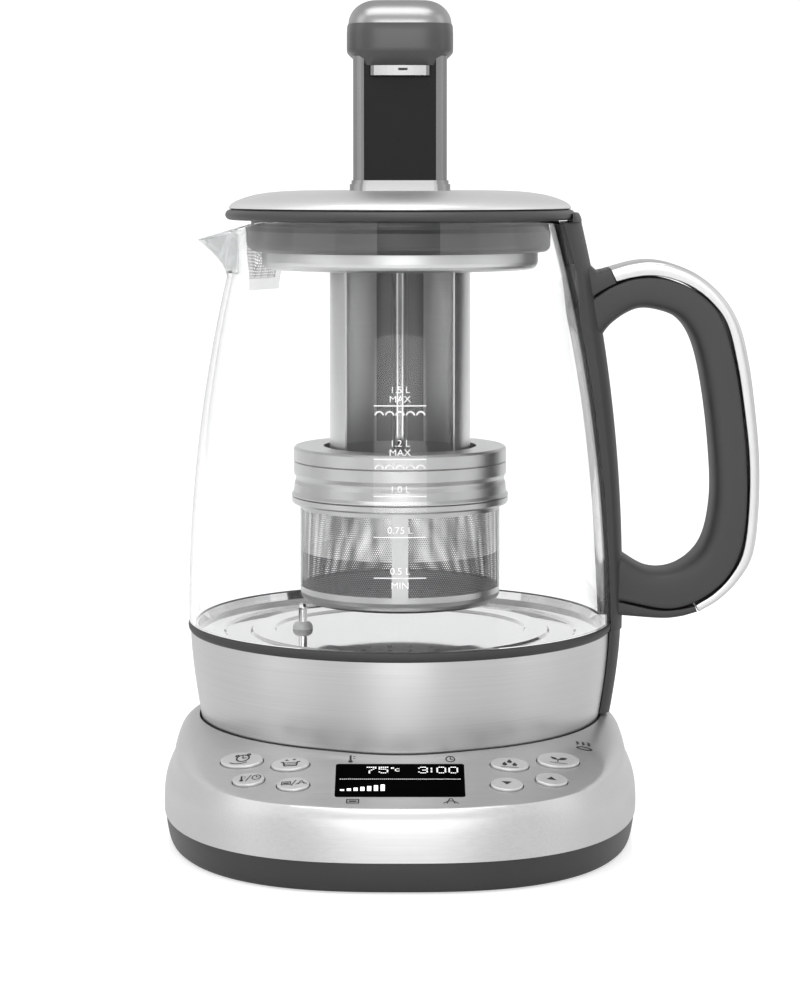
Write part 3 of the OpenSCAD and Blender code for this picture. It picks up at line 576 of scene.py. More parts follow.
# %% Where the buttons are
BIG, MIDDLE, SMALL = (15.5, 10.5), (13.3, 9), (11.2, 8.8)
BUTTONS = {
    "alarm": (-55.2, -73.6, BIG, -18), "basket": (-38, -79.9, MIDDLE, 0),
    "temperature": (-52.1, -87.9, SMALL, -10), "tea": (-36.5, -93.9, SMALL, -6),
    "boil": (38, -79.9, MIDDLE, 0), "heat": (55.2, -73.6, BIG, 18),
    "down": (36.5, -93.9, SMALL, 6), "up": (52.1, -87.9, SMALL, 10),
}


def panel_frame(x, y, turn=0):
    """A frame on the panel: third axis out of it, turned like the buttons."""
    n = panel_normal(x, y)
    tilt = Vector((0, 0, 1)).rotation_difference(n).to_matrix().to_4x4()
    return Matrix.Translation((x, y, top_height(x, y))) @ tilt @ Matrix.Rotation(
        math.radians(turn), 4, "Z")


def display_frame():
    z = FLAT_Z + FLAT_SLOPE * (DISPLAY_Y - FLAT_Y)
    return Matrix.Translation((0, DISPLAY_Y, z)) @ Matrix.Rotation(math.atan(FLAT_SLOPE), 4, "X")


def oval(size, grow=0.0, count=56):
    return [((size[0] / 2 + grow) * math.cos(t), (size[1] / 2 + grow) * math.sin(t))
            for t in full_turn(count)]


def rounded_box(width, length, radius, corner=6):
    points = []
    for quarter, (sx, sy) in enumerate([(1, 1), (-1, 1), (-1, -1), (1, -1)]):
        for i in range(corner + 1):
            a = math.pi / 2 * (quarter + i / corner)
            points.append((sx * (width / 2 - radius) + radius * math.cos(a),
                           sy * (length / 2 - radius) + radius * math.sin(a)))
    return points


# %% Cut the panel
def prism(outline, where, low, high):
    return skin([[tuple(where @ Vector((x, y, z))) for x, y in outline] for z in (low, high)])


def joined(parts):
    points, faces = [], []
    for more, sides in parts:
        faces += [tuple(i + len(points) for i in side) for side in sides]
        points += more
    return points, faces


BUTTON_GAP, CUT_DEPTH, SHEET_T = 0.35, 6, 1.6
holes = [prism(oval(size, BUTTON_GAP), panel_frame(x, y, turn), -CUT_DEPTH, CUT_DEPTH)
         for x, y, size, turn in BUTTONS.values()]
holes.append(prism(rounded_box(*DISPLAY_HOLE), display_frame(), -CUT_DEPTH, CUT_DEPTH))
cutter_mesh = bpy.data.meshes.new("cutter")
cutter_points, cutter_faces = joined(holes)
cutter_mesh.from_pydata([Vector(p) * MM for p in cutter_points], [], cutter_faces)
cutter = bpy.data.objects.new("cutter", cutter_mesh)
SCENE.collection.objects.link(cutter)


def apply_all(made):
    """Turn a piece's modifiers into its mesh."""
    bpy.context.view_layer.update()
    graph = bpy.context.evaluated_depsgraph_get()
    done = bpy.data.meshes.new_from_object(made.evaluated_get(graph))
    made.modifiers.clear()
    made.data = done
    done.shade_smooth()
    done.set_sharp_from_angle(angle=math.radians(35))


wall = casing.modifiers.new("wall", "SOLIDIFY")
wall.thickness, wall.offset = SHEET_T * MM, -1
cut = casing.modifiers.new("cut", "BOOLEAN")
cut.operation, cut.object, cut.solver = "DIFFERENCE", cutter, "EXACT"
apply_all(casing)
bpy.data.objects.remove(cutter)
print("casing:", len(casing.data.polygons), "faces")

# %% [markdown]
# A button is a thick oval cap with a rounded shoulder. The rings of its skin step in
# along a quarter circle at the top, which catches the bright line that the real ones
# show along their lower edge.

# %% Buttons
def button_cap(size, where):
    rings = []
    levels = [(0, -3.4)] + [(0.55 * (1 - math.cos(a)), 0.3 + 0.6 * math.sin(a))
                            for a in span(0, math.pi / 2, 6)]
    for inset, z in levels:
        rings.append([tuple(where @ Vector((x, y, z))) for x, y in oval(size, -inset)])
    dish = [(0.7, 0.88), (0.35, 0.86)]
    for share, z in dish:
        rings.append([tuple(where @ Vector((x * share, y * share, z))) for x, y in oval(size)])
    return skin(rings)


for key, (x, y, size, turn) in BUTTONS.items():
    piece(key + "_cap", *button_cap(size, panel_frame(x, y, turn)), button_plastic,
          key + "_key", "button", [key + "_button"], sharp=50)

# %% [markdown]
# ## The skirt
#
# The dark skirt below the steel tapers in to the foot. It uses the same plan curve.

# %% Skirt
SKIRT = [(0.3, 2.9), (0.8, 2.3), (1.6, 1.9), (3, 1.5), (5, 1.1), (7.2, 0.75), (9.4, 0.5),
         (SKIRT_Z, 0.5)]
SKIRT_INSIDE, SKIRT_N = 7, 2.65


def skirt_ring(z, inset):
    half, front = HALF - inset, FRONT - inset
    return [(*plan_point(t, half, front, half, SKIRT_N), z) for t in turns]


skirt_rings = [skirt_ring(z, inset) for z, inset in SKIRT]
skirt_rings += [skirt_ring(z, SKIRT_INSIDE) for z in (SKIRT_Z, SKIRT[0][0])]
piece("skirt", *skin(skirt_rings, hollow=True), skirt_plastic, "base", "dark_plastic",
      ["base_skirt"], sharp=40)

# %% [markdown]
# ## The glass
#
# The jug's wall narrows upwards in a parabola. Its pouring lip grows out of the wall
# over a third of a turn on the side away from the handle, with a rim that dips towards
# the tip. Both faces come from one function, the inner one set in by the wall.

# %% Glass
GLASS_FOOT, GLASS_TOP, GLASS_T = 75.6, 224, 2.2
BELLY_R, BELLY_Z, NARROWS, NARROWS_OVER = 78.9, 78, 19.6, 146
SPOUT_Z, SPOUT_HALF, SPOUT_OUT, SPOUT_DIP, LIP_ROUND = 203, 34, 14.4, 7, 0.3


def glass_r(z):
    return BELLY_R - NARROWS * ((z - BELLY_Z) / NARROWS_OVER) ** 2


def spout_shape(d):
    return math.cos(math.radians(90 * d / SPOUT_HALF)) ** 1.6 if abs(d) < SPOUT_HALF else 0


def glass_ring(z, v, inset):
    ring = []
    for t in full_turn(240):
        d = math.degrees(t) - 180
        lip = GLASS_TOP - SPOUT_DIP * spout_shape(d)
        h = z if v == 0 else mix(SPOUT_Z, lip, v)
        r = glass_r(h) + SPOUT_OUT * spout_shape(d) * v ** 1.5 - inset
        ring.append((r * math.cos(t), r * math.sin(t), h))
    return ring


def glass_face(inset, top=0.97):
    return ([glass_ring(z, 0, inset) for z in span(GLASS_FOOT, SPOUT_Z, 40)]
            + [glass_ring(0, v, inset) for v in span(0.04, top, 18)])


lip_outside, lip_inside = glass_ring(0, 1, LIP_ROUND), glass_ring(0, 1, GLASS_T - LIP_ROUND)
lip = [[tuple(mix(a, b, s) for a, b in zip(p, q)) for p, q in zip(lip_outside, lip_inside)]
       for s in (0, 0.5, 1)]
glass_rings = glass_face(0) + lip + list(reversed(glass_face(GLASS_T)))
piece("jug_wall", *skin(glass_rings, hollow=True), glass, "jug", "glass", ["glass_body"],
      sharp=60)

# %% [markdown]
# ## The handle
#
# The strap down the jug, the grip, its bright back strip and the lower shell are lofted
# between an inner and an outer outline, drawn in the plane of the handle. Their section
# is a rectangle, rounded where a hand meets it. The outlines are those of the solids,
# sampled more finely.

# %% Handle outlines
LOOP_INNER = [[72.9, 178.5], [78.6, 186], [87.5, 191.3], [96.5, 190.7], [104, 186.9],
              [109.3, 177.5], [113, 160.5], [115.6, 138], [116, 119.5], [112.4, 104],
              [103.5, 95.6], [92.5, 94.5], [80.5, 101.4]]
LOOP_OUTER = [[67.5, 192.6], [77.5, 199.4], [87.5, 202.9], [98.5, 202.6], [109.5, 198],
              [118.5, 188.8], [124.2, 170], [127.8, 144], [128.8, 119], [125.9, 99.8],
              [117.1, 87.2], [101.5, 80.1], [81, 83.2]]
TRIM_OUTER = [[77.7, 206.6], [85.5, 208.8], [93, 209.6], [101, 208.2], [110.5, 204],
              [119.3, 196.4], [125.6, 186], [129.2, 172], [131.6, 155], [133.3, 136],
              [133.2, 117], [131.2, 100.5], [125.8, 90.6], [118.6, 83.4], [111, 78.8]]
TRIM_INNER = [[80, 201.6], [86, 203.1], [92.6, 203.8], [99.6, 202.8], [107.6, 199.7], [115, 194],
              [120.7, 186], [124.4, 172], [127, 156], [129.2, 136], [129.1, 117], [127.2, 101.5],
              [122.6, 92.4], [116.4, 85.9], [109.9, 81.7]]
FOOT_INNER = [[109.5, 81.1], [103, 79.8], [95, 79.7], [81, 82.8]]
FOOT_OUTER = [[110.5, 78.5], [104, 76.7], [96.4, 76.1], [81, 77.1]]
SHOULDER_INNER = [[66, 191.6], [72, 196.5], [76, 199], [79.8, 200.9]]
SHOULDER_OUTER = [[66, 213], [72.2, 206.3], [74.6, 205.9], [77.5, 206.6]]
GRIP_HALF, TIGHT = 12, 0.12


def loop_bar(inner, outer, half, stations, inner_corner, outer_corner, count=48):
    """Corners from 1, an ellipse, to 0, a rectangle."""
    rings = []
    for u in span(0, 1, stations):
        p, q = curve_at(inner, u), curve_at(outer, u)
        ring = []
        for t in full_turn(count):
            corner = outer_corner if math.cos(t) > 0 else inner_corner
            s = 0.5 + 0.5 * power(math.cos(t), corner)
            side = -half * power(math.sin(t), corner)
            ring.append((mix(p[0], q[0], s), side, mix(p[1], q[1], s)))
        rings.append(ring)
    return skin(rings)


piece("grip", *loop_bar(LOOP_INNER, LOOP_OUTER, GRIP_HALF, 120, 0.55, TIGHT), grip_plastic,
      "jug", "dark_plastic", ["handle_grip"], sharp=50)
piece("grip_strip", *loop_bar(TRIM_INNER, TRIM_OUTER, GRIP_HALF + 0.3, 120, TIGHT, 0.4),
      trim_steel, "jug", "polished", ["handle_trim"], sharp=50)
piece("grip_underside", *loop_bar(FOOT_INNER, FOOT_OUTER, GRIP_HALF - 0.6, 24, TIGHT, 0.55),
      grip_plastic, "jug", "lower_shell", ["handle_foot"], sharp=50)

# %% The strap down the jug
CUP_TOP, CUP_TOP_R, SPINE_HALF, HOOK_Z = 72, 78.3, 17, 223.6


def cup_r(z):
    return CUP_TOP_R - 4.1 * (max(0, CUP_TOP - z) / 33) ** 1.5


def body_r(z):
    return cup_r(z) if z < CUP_TOP else glass_r(z)


def spine_in(z):
    return 65.6 if z > HOOK_Z else body_r(z) + mix(0.35, 2.9, ease((z - 186) / 20))


def spine_out(z):
    if z > HOOK_Z:
        return 67.6 - ((z - HOOK_Z) / 3.4) ** 2 * 1.2
    return body_r(z) + 4.2 + 3.4 * (max(0, z - 78) / 132) ** 1.3


def spine_ring(z):
    a, b, w = spine_in(z), spine_out(z), mix(9, SPINE_HALF, ease((z - 38) / 70))
    ring = [(math.sqrt(a * a - y * y), y, z) for y in span(w, -w, 16)]
    for s in span(-0.985, 0.985, 24):
        y = w * s
        ring.append((math.sqrt(b * b - y * y) - 0.72 * (b - a) * abs(s) ** 4, y, z))
    return ring


spine_levels = ([40.4, 40.7, 41.2] + span(42, 71.8, 12) + span(72.2, 186, 30)
                + span(188, 223.4, 16) + [223.7, 224.6, 225.6, 226.3, 226.7, 227])
piece("strap", *joined([
    skin([spine_ring(z) for z in spine_levels]),
    loop_bar(SHOULDER_INNER, SHOULDER_OUTER, GRIP_HALF, 20, TIGHT, 0.5)]),
    grip_plastic, "jug", "dark_plastic", ["handle_spine"], sharp=50)

# %% [markdown]
# ## The head of the tower
#
# The head is a squared circle in plan, squarer still where it sits on the tower: a dark
# band with a slanting underside, and a bright pressed cap on top. The rod and its rack
# rise into a bore in the band.

# %% Head
HEAD_HALF, HEAD_Z, CHAMFER_Z, CAP_Z, TOTAL_H = 19.7, 281, 285.6, 296.4, 305
BORE_R, BORE_TOP = 11, 293.5


def head_ring(half, z, deep=None, corner=0.5, count=144):
    deep = deep or half + 0.8
    return [(half * power(math.cos(t), corner), deep * power(math.sin(t), corner), z)
            for t in full_turn(count)]


band = [(HEAD_HALF - 0.5, CHAMFER_Z), (HEAD_HALF - 0.2, 286), (HEAD_HALF - 0.05, 286.6),
        (HEAD_HALF, 287.4), (HEAD_HALF, 293), (HEAD_HALF - 0.15, 295.6), (HEAD_HALF - 0.4, CAP_Z)]
bore = [head_ring(BORE_R, z, BORE_R, 1) for z in (BORE_TOP, HEAD_Z)]
on_tower = head_ring(14.3, HEAD_Z, 18.1, 0.25)
piece("head_band", *skin(bore + [on_tower] + [head_ring(*level) for level in band]),
      head_plastic, "lid", "dark_plastic", ["head_shell"], sharp=25)
CAP_ROUND, CAP_TURN = 10, math.radians(75)
dome = [head_ring(HEAD_HALF - 0.6 - CAP_ROUND * (1 - math.cos(a)),
                  CAP_Z + (TOTAL_H - CAP_Z) * math.sin(a) / math.sin(CAP_TURN))
        for a in span(0, CAP_TURN, 20)]
piece("head_dome", *skin(dome), cap_steel, "lid", "polished", ["head_cap"], sharp=40)

# %% [markdown]
# ## The lid's cover
#
# The lid's steel cover is turned round the axis from one curved line, full at the
# shoulder and nearly flat inside.

# %% Lid cover
LID_LINE = [(60.5, 228.4), (63.2, 228.4), (63.7, 228.7), (63.6, 229.4), (62.8, 230.3),
            (61, 231.4), (58, 232.6), (54, 233.7), (49, 234.5), (44, 234.95), (38, 235.2),
            (17, 235.2), (17, 234.2), (38, 234.2), (49, 233.5), (58, 231.5)]
lid_rings = [[(r * math.cos(t), r * math.sin(t), z) for r, z in LID_LINE]
             for t in full_turn(180)]
piece("lid_top", *skin(lid_rings, hollow=True), lid_steel, "lid", "polished", ["lid_cover"],
      sharp=40)

# %% [markdown]
# ## Fine mesh
#
# The basket's windows are closed by etched sheet with holes much finer than a tea leaf.
# Each hole gets one cell of the sheet: a hexagon with a smaller hexagon cut out. Cells
# near a window's rounded corners stay shut, which draws the corners.

# %% Perforated sheet
def perforated(radius_at, width, low, high, middle, pitch, hole, corner):
    """Cells over a window: width along the arc, from low to high, in millimetres."""
    points, faces = [], []
    rows = int((high - low) / (pitch * math.sqrt(3) / 2))
    columns = int(width / pitch)
    for row in range(rows + 1):
        z = low + row * pitch * math.sqrt(3) / 2
        for column in range(columns + 1):
            u = -width / 2 + (column + (row % 2) / 2) * pitch
            dx = abs(u) - (width / 2 - corner)
            dz = max(low + corner - z, z - (high - corner))
            shut = dx > 0 and dz > 0 and math.hypot(dx, dz) > corner
            base = len(points)
            for size in (pitch / math.sqrt(3), hole / 2):
                for k in range(6):
                    a = math.radians(60 * k + 30)
                    pu, pz = u + size * math.cos(a), z + size * math.sin(a)
                    r = radius_at(pz)
                    angle = middle + pu / radius_at(mix(low, high, 0.5))
                    points.append((r * math.cos(angle), r * math.sin(angle), pz))
            if shut:
                faces.append(tuple(base + k for k in range(6)))
            else:
                faces += [(base + k, base + (k + 1) % 6, base + 6 + (k + 1) % 6, base + 6 + k)
                          for k in range(6)]
    return points, faces


BASKET_R, SCREEN_R, BAR_WIDTH, SCREEN_OVER = 37.3, 36.45, 6, 1.2
SCREEN_LOW, SCREEN_HIGH, SCREEN_PITCH, SCREEN_HOLE, SCREEN_CORNER = 87.6, 117.6, 0.82, 0.52, 4
window = (math.pi / 2 - 2 * math.asin(BAR_WIDTH / 2 / BASKET_R)) * SCREEN_R
screens = [perforated(lambda z: SCREEN_R, window + SCREEN_OVER, SCREEN_LOW, SCREEN_HIGH,
                      math.radians(-45 + 90 * q), SCREEN_PITCH, SCREEN_HOLE, SCREEN_CORNER)
           for q in range(4)]
piece("basket_mesh", *joined(screens), mesh_steel, "basket", "mesh", ["basket_screen"])

# %% [markdown]
# The spout's filter has larger holes, in a curved sheet that follows the glass behind
# the spout. Its near edge is folded inwards, and shows as a bright upright strip.

# %% Spout filter
FILTER_NEAR, FILTER_FAR, FILTER_LOW, FILTER_HIGH = -6, 40, 197, 219.6
OPEN_FROM, OPEN_TO, OPEN_LOW, OPEN_HIGH = FILTER_NEAR + 2, FILTER_FAR - 3, 201.5, 215.5
FOLD_R, FOLD_T, FILTER_GAP, FILTER_T = 56.2, 0.8, 0.2, 0.9


def filter_r(z):
    return glass_r(z) - GLASS_T - FILTER_T - FILTER_GAP


def filter_patch(first, last, low, high, inner=None):
    """Part of the sheet between two angles from the spout's middle and two heights."""
    rings = []
    for a in span(first, last, 10):
        t = math.radians(180 - a)
        outline = [(filter_r(z) + 0.6, z) for z in span(low, high, 6)]
        outline += [(inner or filter_r(z) - 0.2, z) for z in span(high, low, 6)]
        rings.append([(r * math.cos(t), r * math.sin(t), z) for r, z in outline])
    return skin(rings)


piece("filter_edge", *joined([
    filter_patch(FILTER_NEAR, FILTER_FAR, FILTER_LOW, OPEN_LOW),
    filter_patch(FILTER_NEAR, FILTER_FAR, OPEN_HIGH, FILTER_HIGH),
    filter_patch(FILTER_NEAR, OPEN_FROM, OPEN_LOW, OPEN_HIGH),
    filter_patch(OPEN_TO, FILTER_FAR, OPEN_LOW, OPEN_HIGH),
    filter_patch(FILTER_NEAR - FOLD_T, FILTER_NEAR, FILTER_LOW, FILTER_HIGH, FOLD_R)]),
    sheet_steel, "jug", "sheet_steel", ["filter_frame"])
spout_width = math.radians(FILTER_FAR - FILTER_NEAR - 4) * 59
spout_middle = math.radians(180 - (FILTER_NEAR + FILTER_FAR) / 2)
piece("spout_mesh", *perforated(filter_r, spout_width, 202, 215, spout_middle, 1.2, 0.68, 1.5),
      mesh_steel, "jug", "mesh", ["filter_screen"])

# %% [markdown]
# ## Printing
#
# A print is drawn flat, in millimetres, as strokes, discs and letters, and then laid on
# whatever carries it: each point is sent along a straight line until it meets the
# surface, and stays a hair above it. So a print follows the glass or the panel.

# %% Flat shapes
def stroke(points, width=0.5):
    shapes = []
    for (ax, ay), (bx, by) in zip(points, points[1:]):
        length = math.hypot(bx - ax, by - ay) or 1
        nx, ny = -(by - ay) / length * width / 2, (bx - ax) / length * width / 2
        shapes.append([(ax + nx, ay + ny), (ax - nx, ay - ny),
                       (bx - nx, by - ny), (bx + nx, by + ny)])
    return shapes + [disc(x, y, width / 2, 8) for x, y in points]


def disc(x, y, r, count=20):
    return [(x + r * math.cos(t), y + r * math.sin(t)) for t in full_turn(count)]


def arc(x, y, r, first, last, count=14, squash=1.0):
    return [(x + r * math.cos(a), y + r * squash * math.sin(a))
            for a in span(math.radians(first), math.radians(last), count)]


WIDER = 1.08


def letters(text, size, x=0.0, y=0.0):
    """The letters of a text as flat faces, centred on x, standing on y."""
    curve = bpy.data.curves.new("letters", "FONT")
    curve.body, curve.size, curve.align_x = text, size, "CENTER"
    holder = bpy.data.objects.new("letters", curve)
    SCENE.collection.objects.link(holder)
    bpy.context.view_layer.update()
    mesh = bpy.data.meshes.new_from_object(
        holder.evaluated_get(bpy.context.evaluated_depsgraph_get()))
    spots = [(vertex.co.x * WIDER + x, vertex.co.y + y) for vertex in mesh.vertices]
    shapes = [[spots[i] for i in side.vertices] for side in mesh.polygons]
    bpy.data.objects.remove(holder)
    bpy.data.meshes.remove(mesh)
    return shapes


# %% Laying a print
def surface_of(made):
    return BVHTree.FromObject(made, bpy.context.evaluated_depsgraph_get())


def lay(name, shapes, surface, where, along, finish, body, slot, lift=0.05):
    """where turns a flat point into the start of a line, along is its direction."""
    along = Vector(along)
    points, faces = [], []
    for shape in shapes:
        spots = []
        for flat in shape:
            start = Vector(where(*flat)) * MM
            hit = surface.ray_cast(start, along)[0]
            if hit is None:
                break
            spots.append(hit / MM - along * lift)
        else:
            faces.append(tuple(range(len(points), len(points) + len(spots))))
            points += spots
    return piece(name, points, faces, finish, body, slot)


# %% The volume scale
SCALE = [(160.9, "1.5 L", "MAX"), (142.5, "1.2 L", "MAX"), (129.75, "1.0 L", None),
         (115.65, "0.75 L", None), (101.55, "0.5 L", None)]
BAR_HALF, LETTER_H = 9, 3.3
scale_shapes = []
for z, label, word in SCALE:
    scale_shapes += stroke([(x, z) for x in span(-BAR_HALF, BAR_HALF, 12)], 0.42)
    scale_shapes += letters(label, LETTER_H, 0, z + (4.4 if word else 1.3))
    if word:
        scale_shapes += letters(word, LETTER_H, 0, z + 1.2)
scale_shapes += letters("MIN", LETTER_H, 0, SCALE[-1][0] - 3.7)
for z in (SCALE[0][0], SCALE[1][0]):
    for x in span(-7.2, 7.2, 4):
        scale_shapes += stroke(arc(x, z - 3.4, 1.4, 15, 165, 6), 0.6)
jug_surface = surface_of(bpy.data.objects["jug_wall"])
lay("volume_scale", scale_shapes, jug_surface, lambda x, z: (x, -130, z), (0, 1, 0), white_ink,
    "jug", "window", 0.04)

# %% [markdown]
# Each button and each place round the display has a small picture instead of a word:
# a clock, a basket, a thermometer, a packet, drops, leaves and arrows.

# %% Pictures
def clock(x, y, r, width=0.45):
    return (stroke(arc(x, y, r, 0, 360, 24), width)
            + stroke([(x, y + r * 0.6), (x, y), (x + r * 0.5, y)], width * 0.9))


def thermometer(x, y, size=1.0):
    shapes = [disc(x, y - 1.6 * size, 0.95 * size)]
    shapes += stroke([(x, y - 1.6 * size), (x, y + 2 * size)], 0.9 * size)
    for rise in (0.4 * size, 1.5 * size):
        shapes += stroke([(x + 1.1 * size, y + rise), (x + 1.8 * size, y + rise)], 0.35 * size)
    return shapes


def packet(x, y, half=2.0, tall=1.3):
    return (stroke([(x - half, y - tall), (x + half, y - tall), (x + half, y + tall),
                    (x - half, y + tall), (x - half, y - tall)], 0.45)
            + stroke([(x - half * 0.5, y), (x + half * 0.5, y)], 0.9))


def strength(x, y, size=1.0):
    return sum([stroke([(x - w * size, y - 1.4 * size), (x - w * 0.3 * size, y + h * size),
                        (x + w * 0.3 * size, y + h * size), (x + w * size, y - 1.4 * size)],
                       0.45 * size) for w, h in ((2.6, 0.2), (1.4, 1.8))], [])


def drop(x, y, size=1.0):
    return [[(x, y + 1.9 * size)] + arc(x, y, size, 150, 390, 12)]


def leaf(x, y, length, turn):
    a = math.radians(turn)
    outline = [(s * length, 0.26 * length * math.sin(math.pi * s)) for s in span(0, 1, 8)]
    outline += [(s * length, -0.2 * length * math.sin(math.pi * s)) for s in span(0.9, 0.1, 7)]
    return [[(x + u * math.cos(a) - v * math.sin(a), y + u * math.sin(a) + v * math.cos(a))
             for u, v in outline]]


def arrow(x, y, size, way):
    rise = way * size * 0.6
    return [[(x - size, y - rise), (x + size, y - rise), (x, y + rise)][::way]]


BUTTON_PICTURES = {
    "alarm": clock(0.4, 0.3, 2.5, 0.65) + stroke(arc(-1.9, 2.6, 0.6, 0, 360, 8), 0.7)
             + stroke(arc(2.7, 2.6, 0.6, 0, 360, 8), 0.7)
             + stroke([(-4.6, -2.2), (-3, -3.4), (0, -3.8), (2, -3.2)], 0.5),
    "basket": stroke([(-3.6, 0.8), (-2.8, 0.6), (-2.4, -2.2), (2.4, -2.2), (2.8, 0.6),
                      (3.6, 0.8)], 0.7)
              + stroke([(-2.3, 0.2), (2.3, 0.2)], 0.4) + stroke([(-2.2, -1), (2.2, -1)], 0.4)
              + arrow(-1.5, 2.4, 0.9, 1) + arrow(1.5, 2.4, 0.9, -1),
    "temperature": thermometer(-2.8, 0.1, 0.85) + stroke([(-1, -1.9), (0.9, 2)], 0.45)
                   + clock(3.1, 0, 1.7),
    "tea": packet(-2.8, 0, 1.7, 1.1) + stroke([(-0.7, -1.9), (1, 2)], 0.45)
           + strength(3.2, 0, 0.8),
    "boil": drop(0, 0.9, 1) + drop(-2, -1.3, 1) + drop(2, -1.3, 1)
            + stroke([(-3.4, -3.4), (3.4, -3.4)], 0.35),
    "heat": leaf(0, -0.8, 3.6, 150) + leaf(0, -0.8, 4.3, 28)
            + stroke([(0, -0.6), (-0.3, -2.4)], 0.45) + stroke([(-3.4, -3.4), (3.4, -3.4)], 0.35),
    "down": arrow(0, 0, 2, -1),
    "up": arrow(0, 0, 2, 1),
}
PICTURE = 0.87  # their scale on the buttons
for key, shapes in BUTTON_PICTURES.items():
    cx, cy = BUTTONS[key][:2]
    lay(key + "_picture", shapes, surface_of(bpy.data.objects[key + "_cap"]),
        lambda u, v: (cx + PICTURE * u, cy + PICTURE * v, 80), (0, 0, -1), black_ink,
        key + "_key", "black_plastic")

# %% Pictures on the panel
STEAM = [(0, 0), (0.5, 0.8), (0, 1.7), (0.5, 2.5), (0, 3.4)]
panel_shapes = (thermometer(-17.2, -76.8, 0.85) + clock(17.5, -76.8, 1.5)
                + packet(-16, -105.3, 2, 1.2) + strength(17.2, -105.3, 0.95))
for steam_x in (62.9, 64.9, 66.9):
    panel_shapes += stroke([(steam_x + u, -57.2 + v) for u, v in STEAM], 0.75)
panel_shapes += stroke(arc(65.2, -60.6, 2.5, 0, 360, 24, 0.5), 0.85)
lay("panel_pictures", panel_shapes, surface_of(casing), lambda x, y: (x, y, 80), (0, 0, -1),
    black_ink, "base", "black_plastic")
lay("tab_slot", stroke([(-0.3, 279.4), (2.4, 279.4)], 0.9), surface_of(NODES["release_tab"]),
    lambda x, z: (x, -60, z), (0, 1, 0), black_ink, "release", "black_plastic")

# %% [markdown]
# The display is a grid of small square cells. Digits come from a five by seven table,
# where each row is a number whose bits are the lit cells.

# %% Display
DIGITS = {"7": (31, 1, 2, 4, 8, 8, 8), "5": (31, 16, 30, 1, 1, 17, 14),
          "3": (14, 17, 1, 6, 1, 17, 14), "0": (14, 17, 17, 17, 17, 17, 14),
          ":": (0, 4, 4, 0, 4, 4, 0)}
CELL, ROW, LETTER_CELLS = 0.7, 0.68, 5.9


def square(x, y, w, h):
    return [(x, y), (x + w, y), (x + w, y + h), (x, y + h)]


def cells(text, x, y):
    shapes = []
    for place, letter in enumerate(text):
        for r, bits in enumerate(DIGITS[letter]):
            for c in range(5):
                if bits >> (4 - c) & 1:
                    u = x + (place * LETTER_CELLS + c) * CELL
                    v = y + (3 - r) * ROW
                    shapes.append(square(u, v, CELL * 0.74, ROW * 0.7))
    return shapes


lit = sum([cells(text, x, 6.9)
           for text, x in (("75", -11.5), ("3", 6.3), (":", 9.2), ("00", 12.6))], [])
lit += stroke(arc(-2.6, 8.6, 0.45, 0, 360, 8), 0.2) + stroke(arc(-0.8, 7.2, 0.9, 50, 310, 8), 0.25)
lit += [square(x, 0.5, 0.34, 0.34) for x in span(-20.6, 20.4, 60)]
lit += [square(-20.4 + 2.3 * k, -7.6, 1.4, 1.1 + 0.55 * k) for k in range(7)]
display_surface = surface_of(NODES["display_window"])
slope = display_frame()
lay("display_cells", lit, display_surface, lambda u, v: tuple(slope @ Vector((u, v, 12))),
    tuple(-(slope.to_3x3() @ Vector((0, 0, 1)))), lit_cell, "base", "window", 0.03)

# %% [markdown]
# ## Floor and light
#
# The machine stands on a plain white floor that runs up into a backdrop. Soft light
# comes from large lamps above and in front and two smaller ones at the sides. The floor
# and backdrop are white straight or through the glass, the world only straight: rays
# that the glass's edge bends to the sides find it grey, which draws the jug's outline.

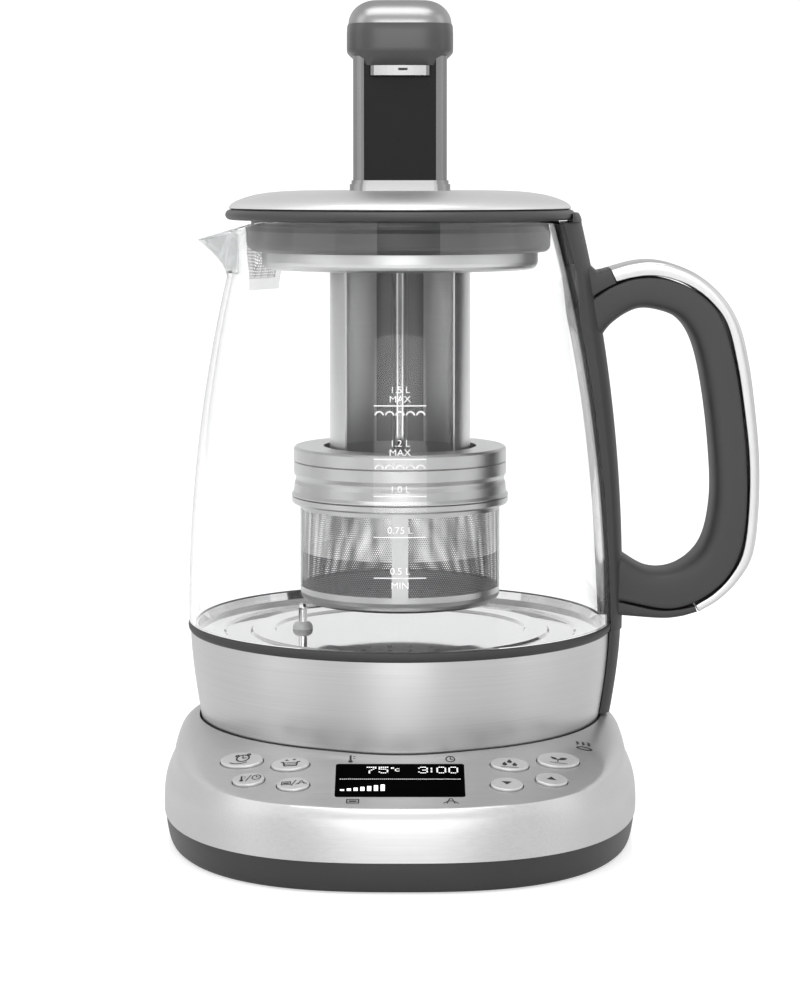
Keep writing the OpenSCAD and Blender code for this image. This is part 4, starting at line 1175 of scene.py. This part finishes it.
# %% Floor
floor_white = Finish("floor_white", {"Roughness": 0.1, "Base Color": (0.7, 0.7, 0.7, 1),
                                     "Emission Strength": 0.55})
camera_ray, glass_ray, gloss_ray = [
    floor_white.node("ShaderNodeLightPath", {}, {}, ray)
    for ray in ("Is Camera Ray", "Is Transmission Ray", "Is Glossy Ray")]
floor_white.vary({"Emission Color": floor_white.blend(camera_ray + glass_ray + gloss_ray * 0.2,
                                                      grey(0.0), grey(1.0))})
FLOOR_HALF, FLOOR_NEAR, BEND_Y, BEND_R, WALL_H, BELOW = 1.6, -2.5, 2.2, 1.2, 4, 0.0002
profile = [(FLOOR_NEAR, 0)]
profile += [(BEND_Y + BEND_R * math.sin(a), BEND_R - BEND_R * math.cos(a))
            for a in span(0, math.pi / 2, 16)]
profile += [(BEND_Y + BEND_R, WALL_H)]
floor_mesh = bpy.data.meshes.new("floor")
floor_mesh.from_pydata([(x, y, z - BELOW) for y, z in profile
                        for x in (-FLOOR_HALF, FLOOR_HALF)], [],
                       [(2 * i, 2 * i + 1, 2 * i + 3, 2 * i + 2) for i in range(len(profile) - 1)])
floor_mesh.shade_smooth()
floor_mesh.materials.append(floor_white.material)
floor = bpy.data.objects.new("floor", floor_mesh)
SCENE.collection.objects.link(floor)

# %% World
world = bpy.data.worlds.new("studio")
world.use_nodes = True
SCENE.world = world
sky = Finish("studio", {}, world.node_tree)
direction = sky.node("ShaderNodeTexCoord", {}, {}, "Generated")
up = sky.node("ShaderNodeSeparateXYZ", {}, {0: direction}, "Z")
STUDIO_TONES = [(0.0, 0.4), (0.45, 0.5), (0.58, 1.0), (1.0, 0.8)]
studio = sky.node("ShaderNodeValToRGB", {"stops": STUDIO_TONES}, {0: up * 0.5 + 0.5})
white = sky.blend(sky.node("ShaderNodeLightPath", {}, {}, "Is Camera Ray"), studio, grey(1.0))
sky.feed(world.node_tree.nodes["Background"], {"Color": white, "Strength": 1.0})


# %% Lamps
def lamp(name, size, power_w, where, at):
    light = bpy.data.lights.new(name, "AREA")
    light.shape, light.size, light.size_y, light.energy = "RECTANGLE", *size, power_w
    made = bpy.data.objects.new(name, light)
    made.location = where
    made.rotation_euler = (Vector(at) - Vector(where)).to_track_quat("-Z", "Y").to_euler()
    SCENE.collection.objects.link(made)


lamp("top", (1.2, 0.9), 9, (-0.1, -0.5, 1.5), (0, 0, 0.1))
lamp("front", (1.0, 0.6), 6, (0, -1.9, 0.5), (0, 0, 0.05))
lamp("left", (0.9, 1.4), 3, (-1.3, -0.6, 0.7), (0, 0, 0.15))
lamp("right", (0.8, 1.4), 1.8, (1.4, -0.4, 0.7), (0, 0, 0.15))

# %% [markdown]
# ## Close
#
# The colours are written to be seen as they are, so the view transform is Standard. The
# dressed model may not outgrow the solids.

# %% Close
SCENE.view_settings.view_transform = "Standard"
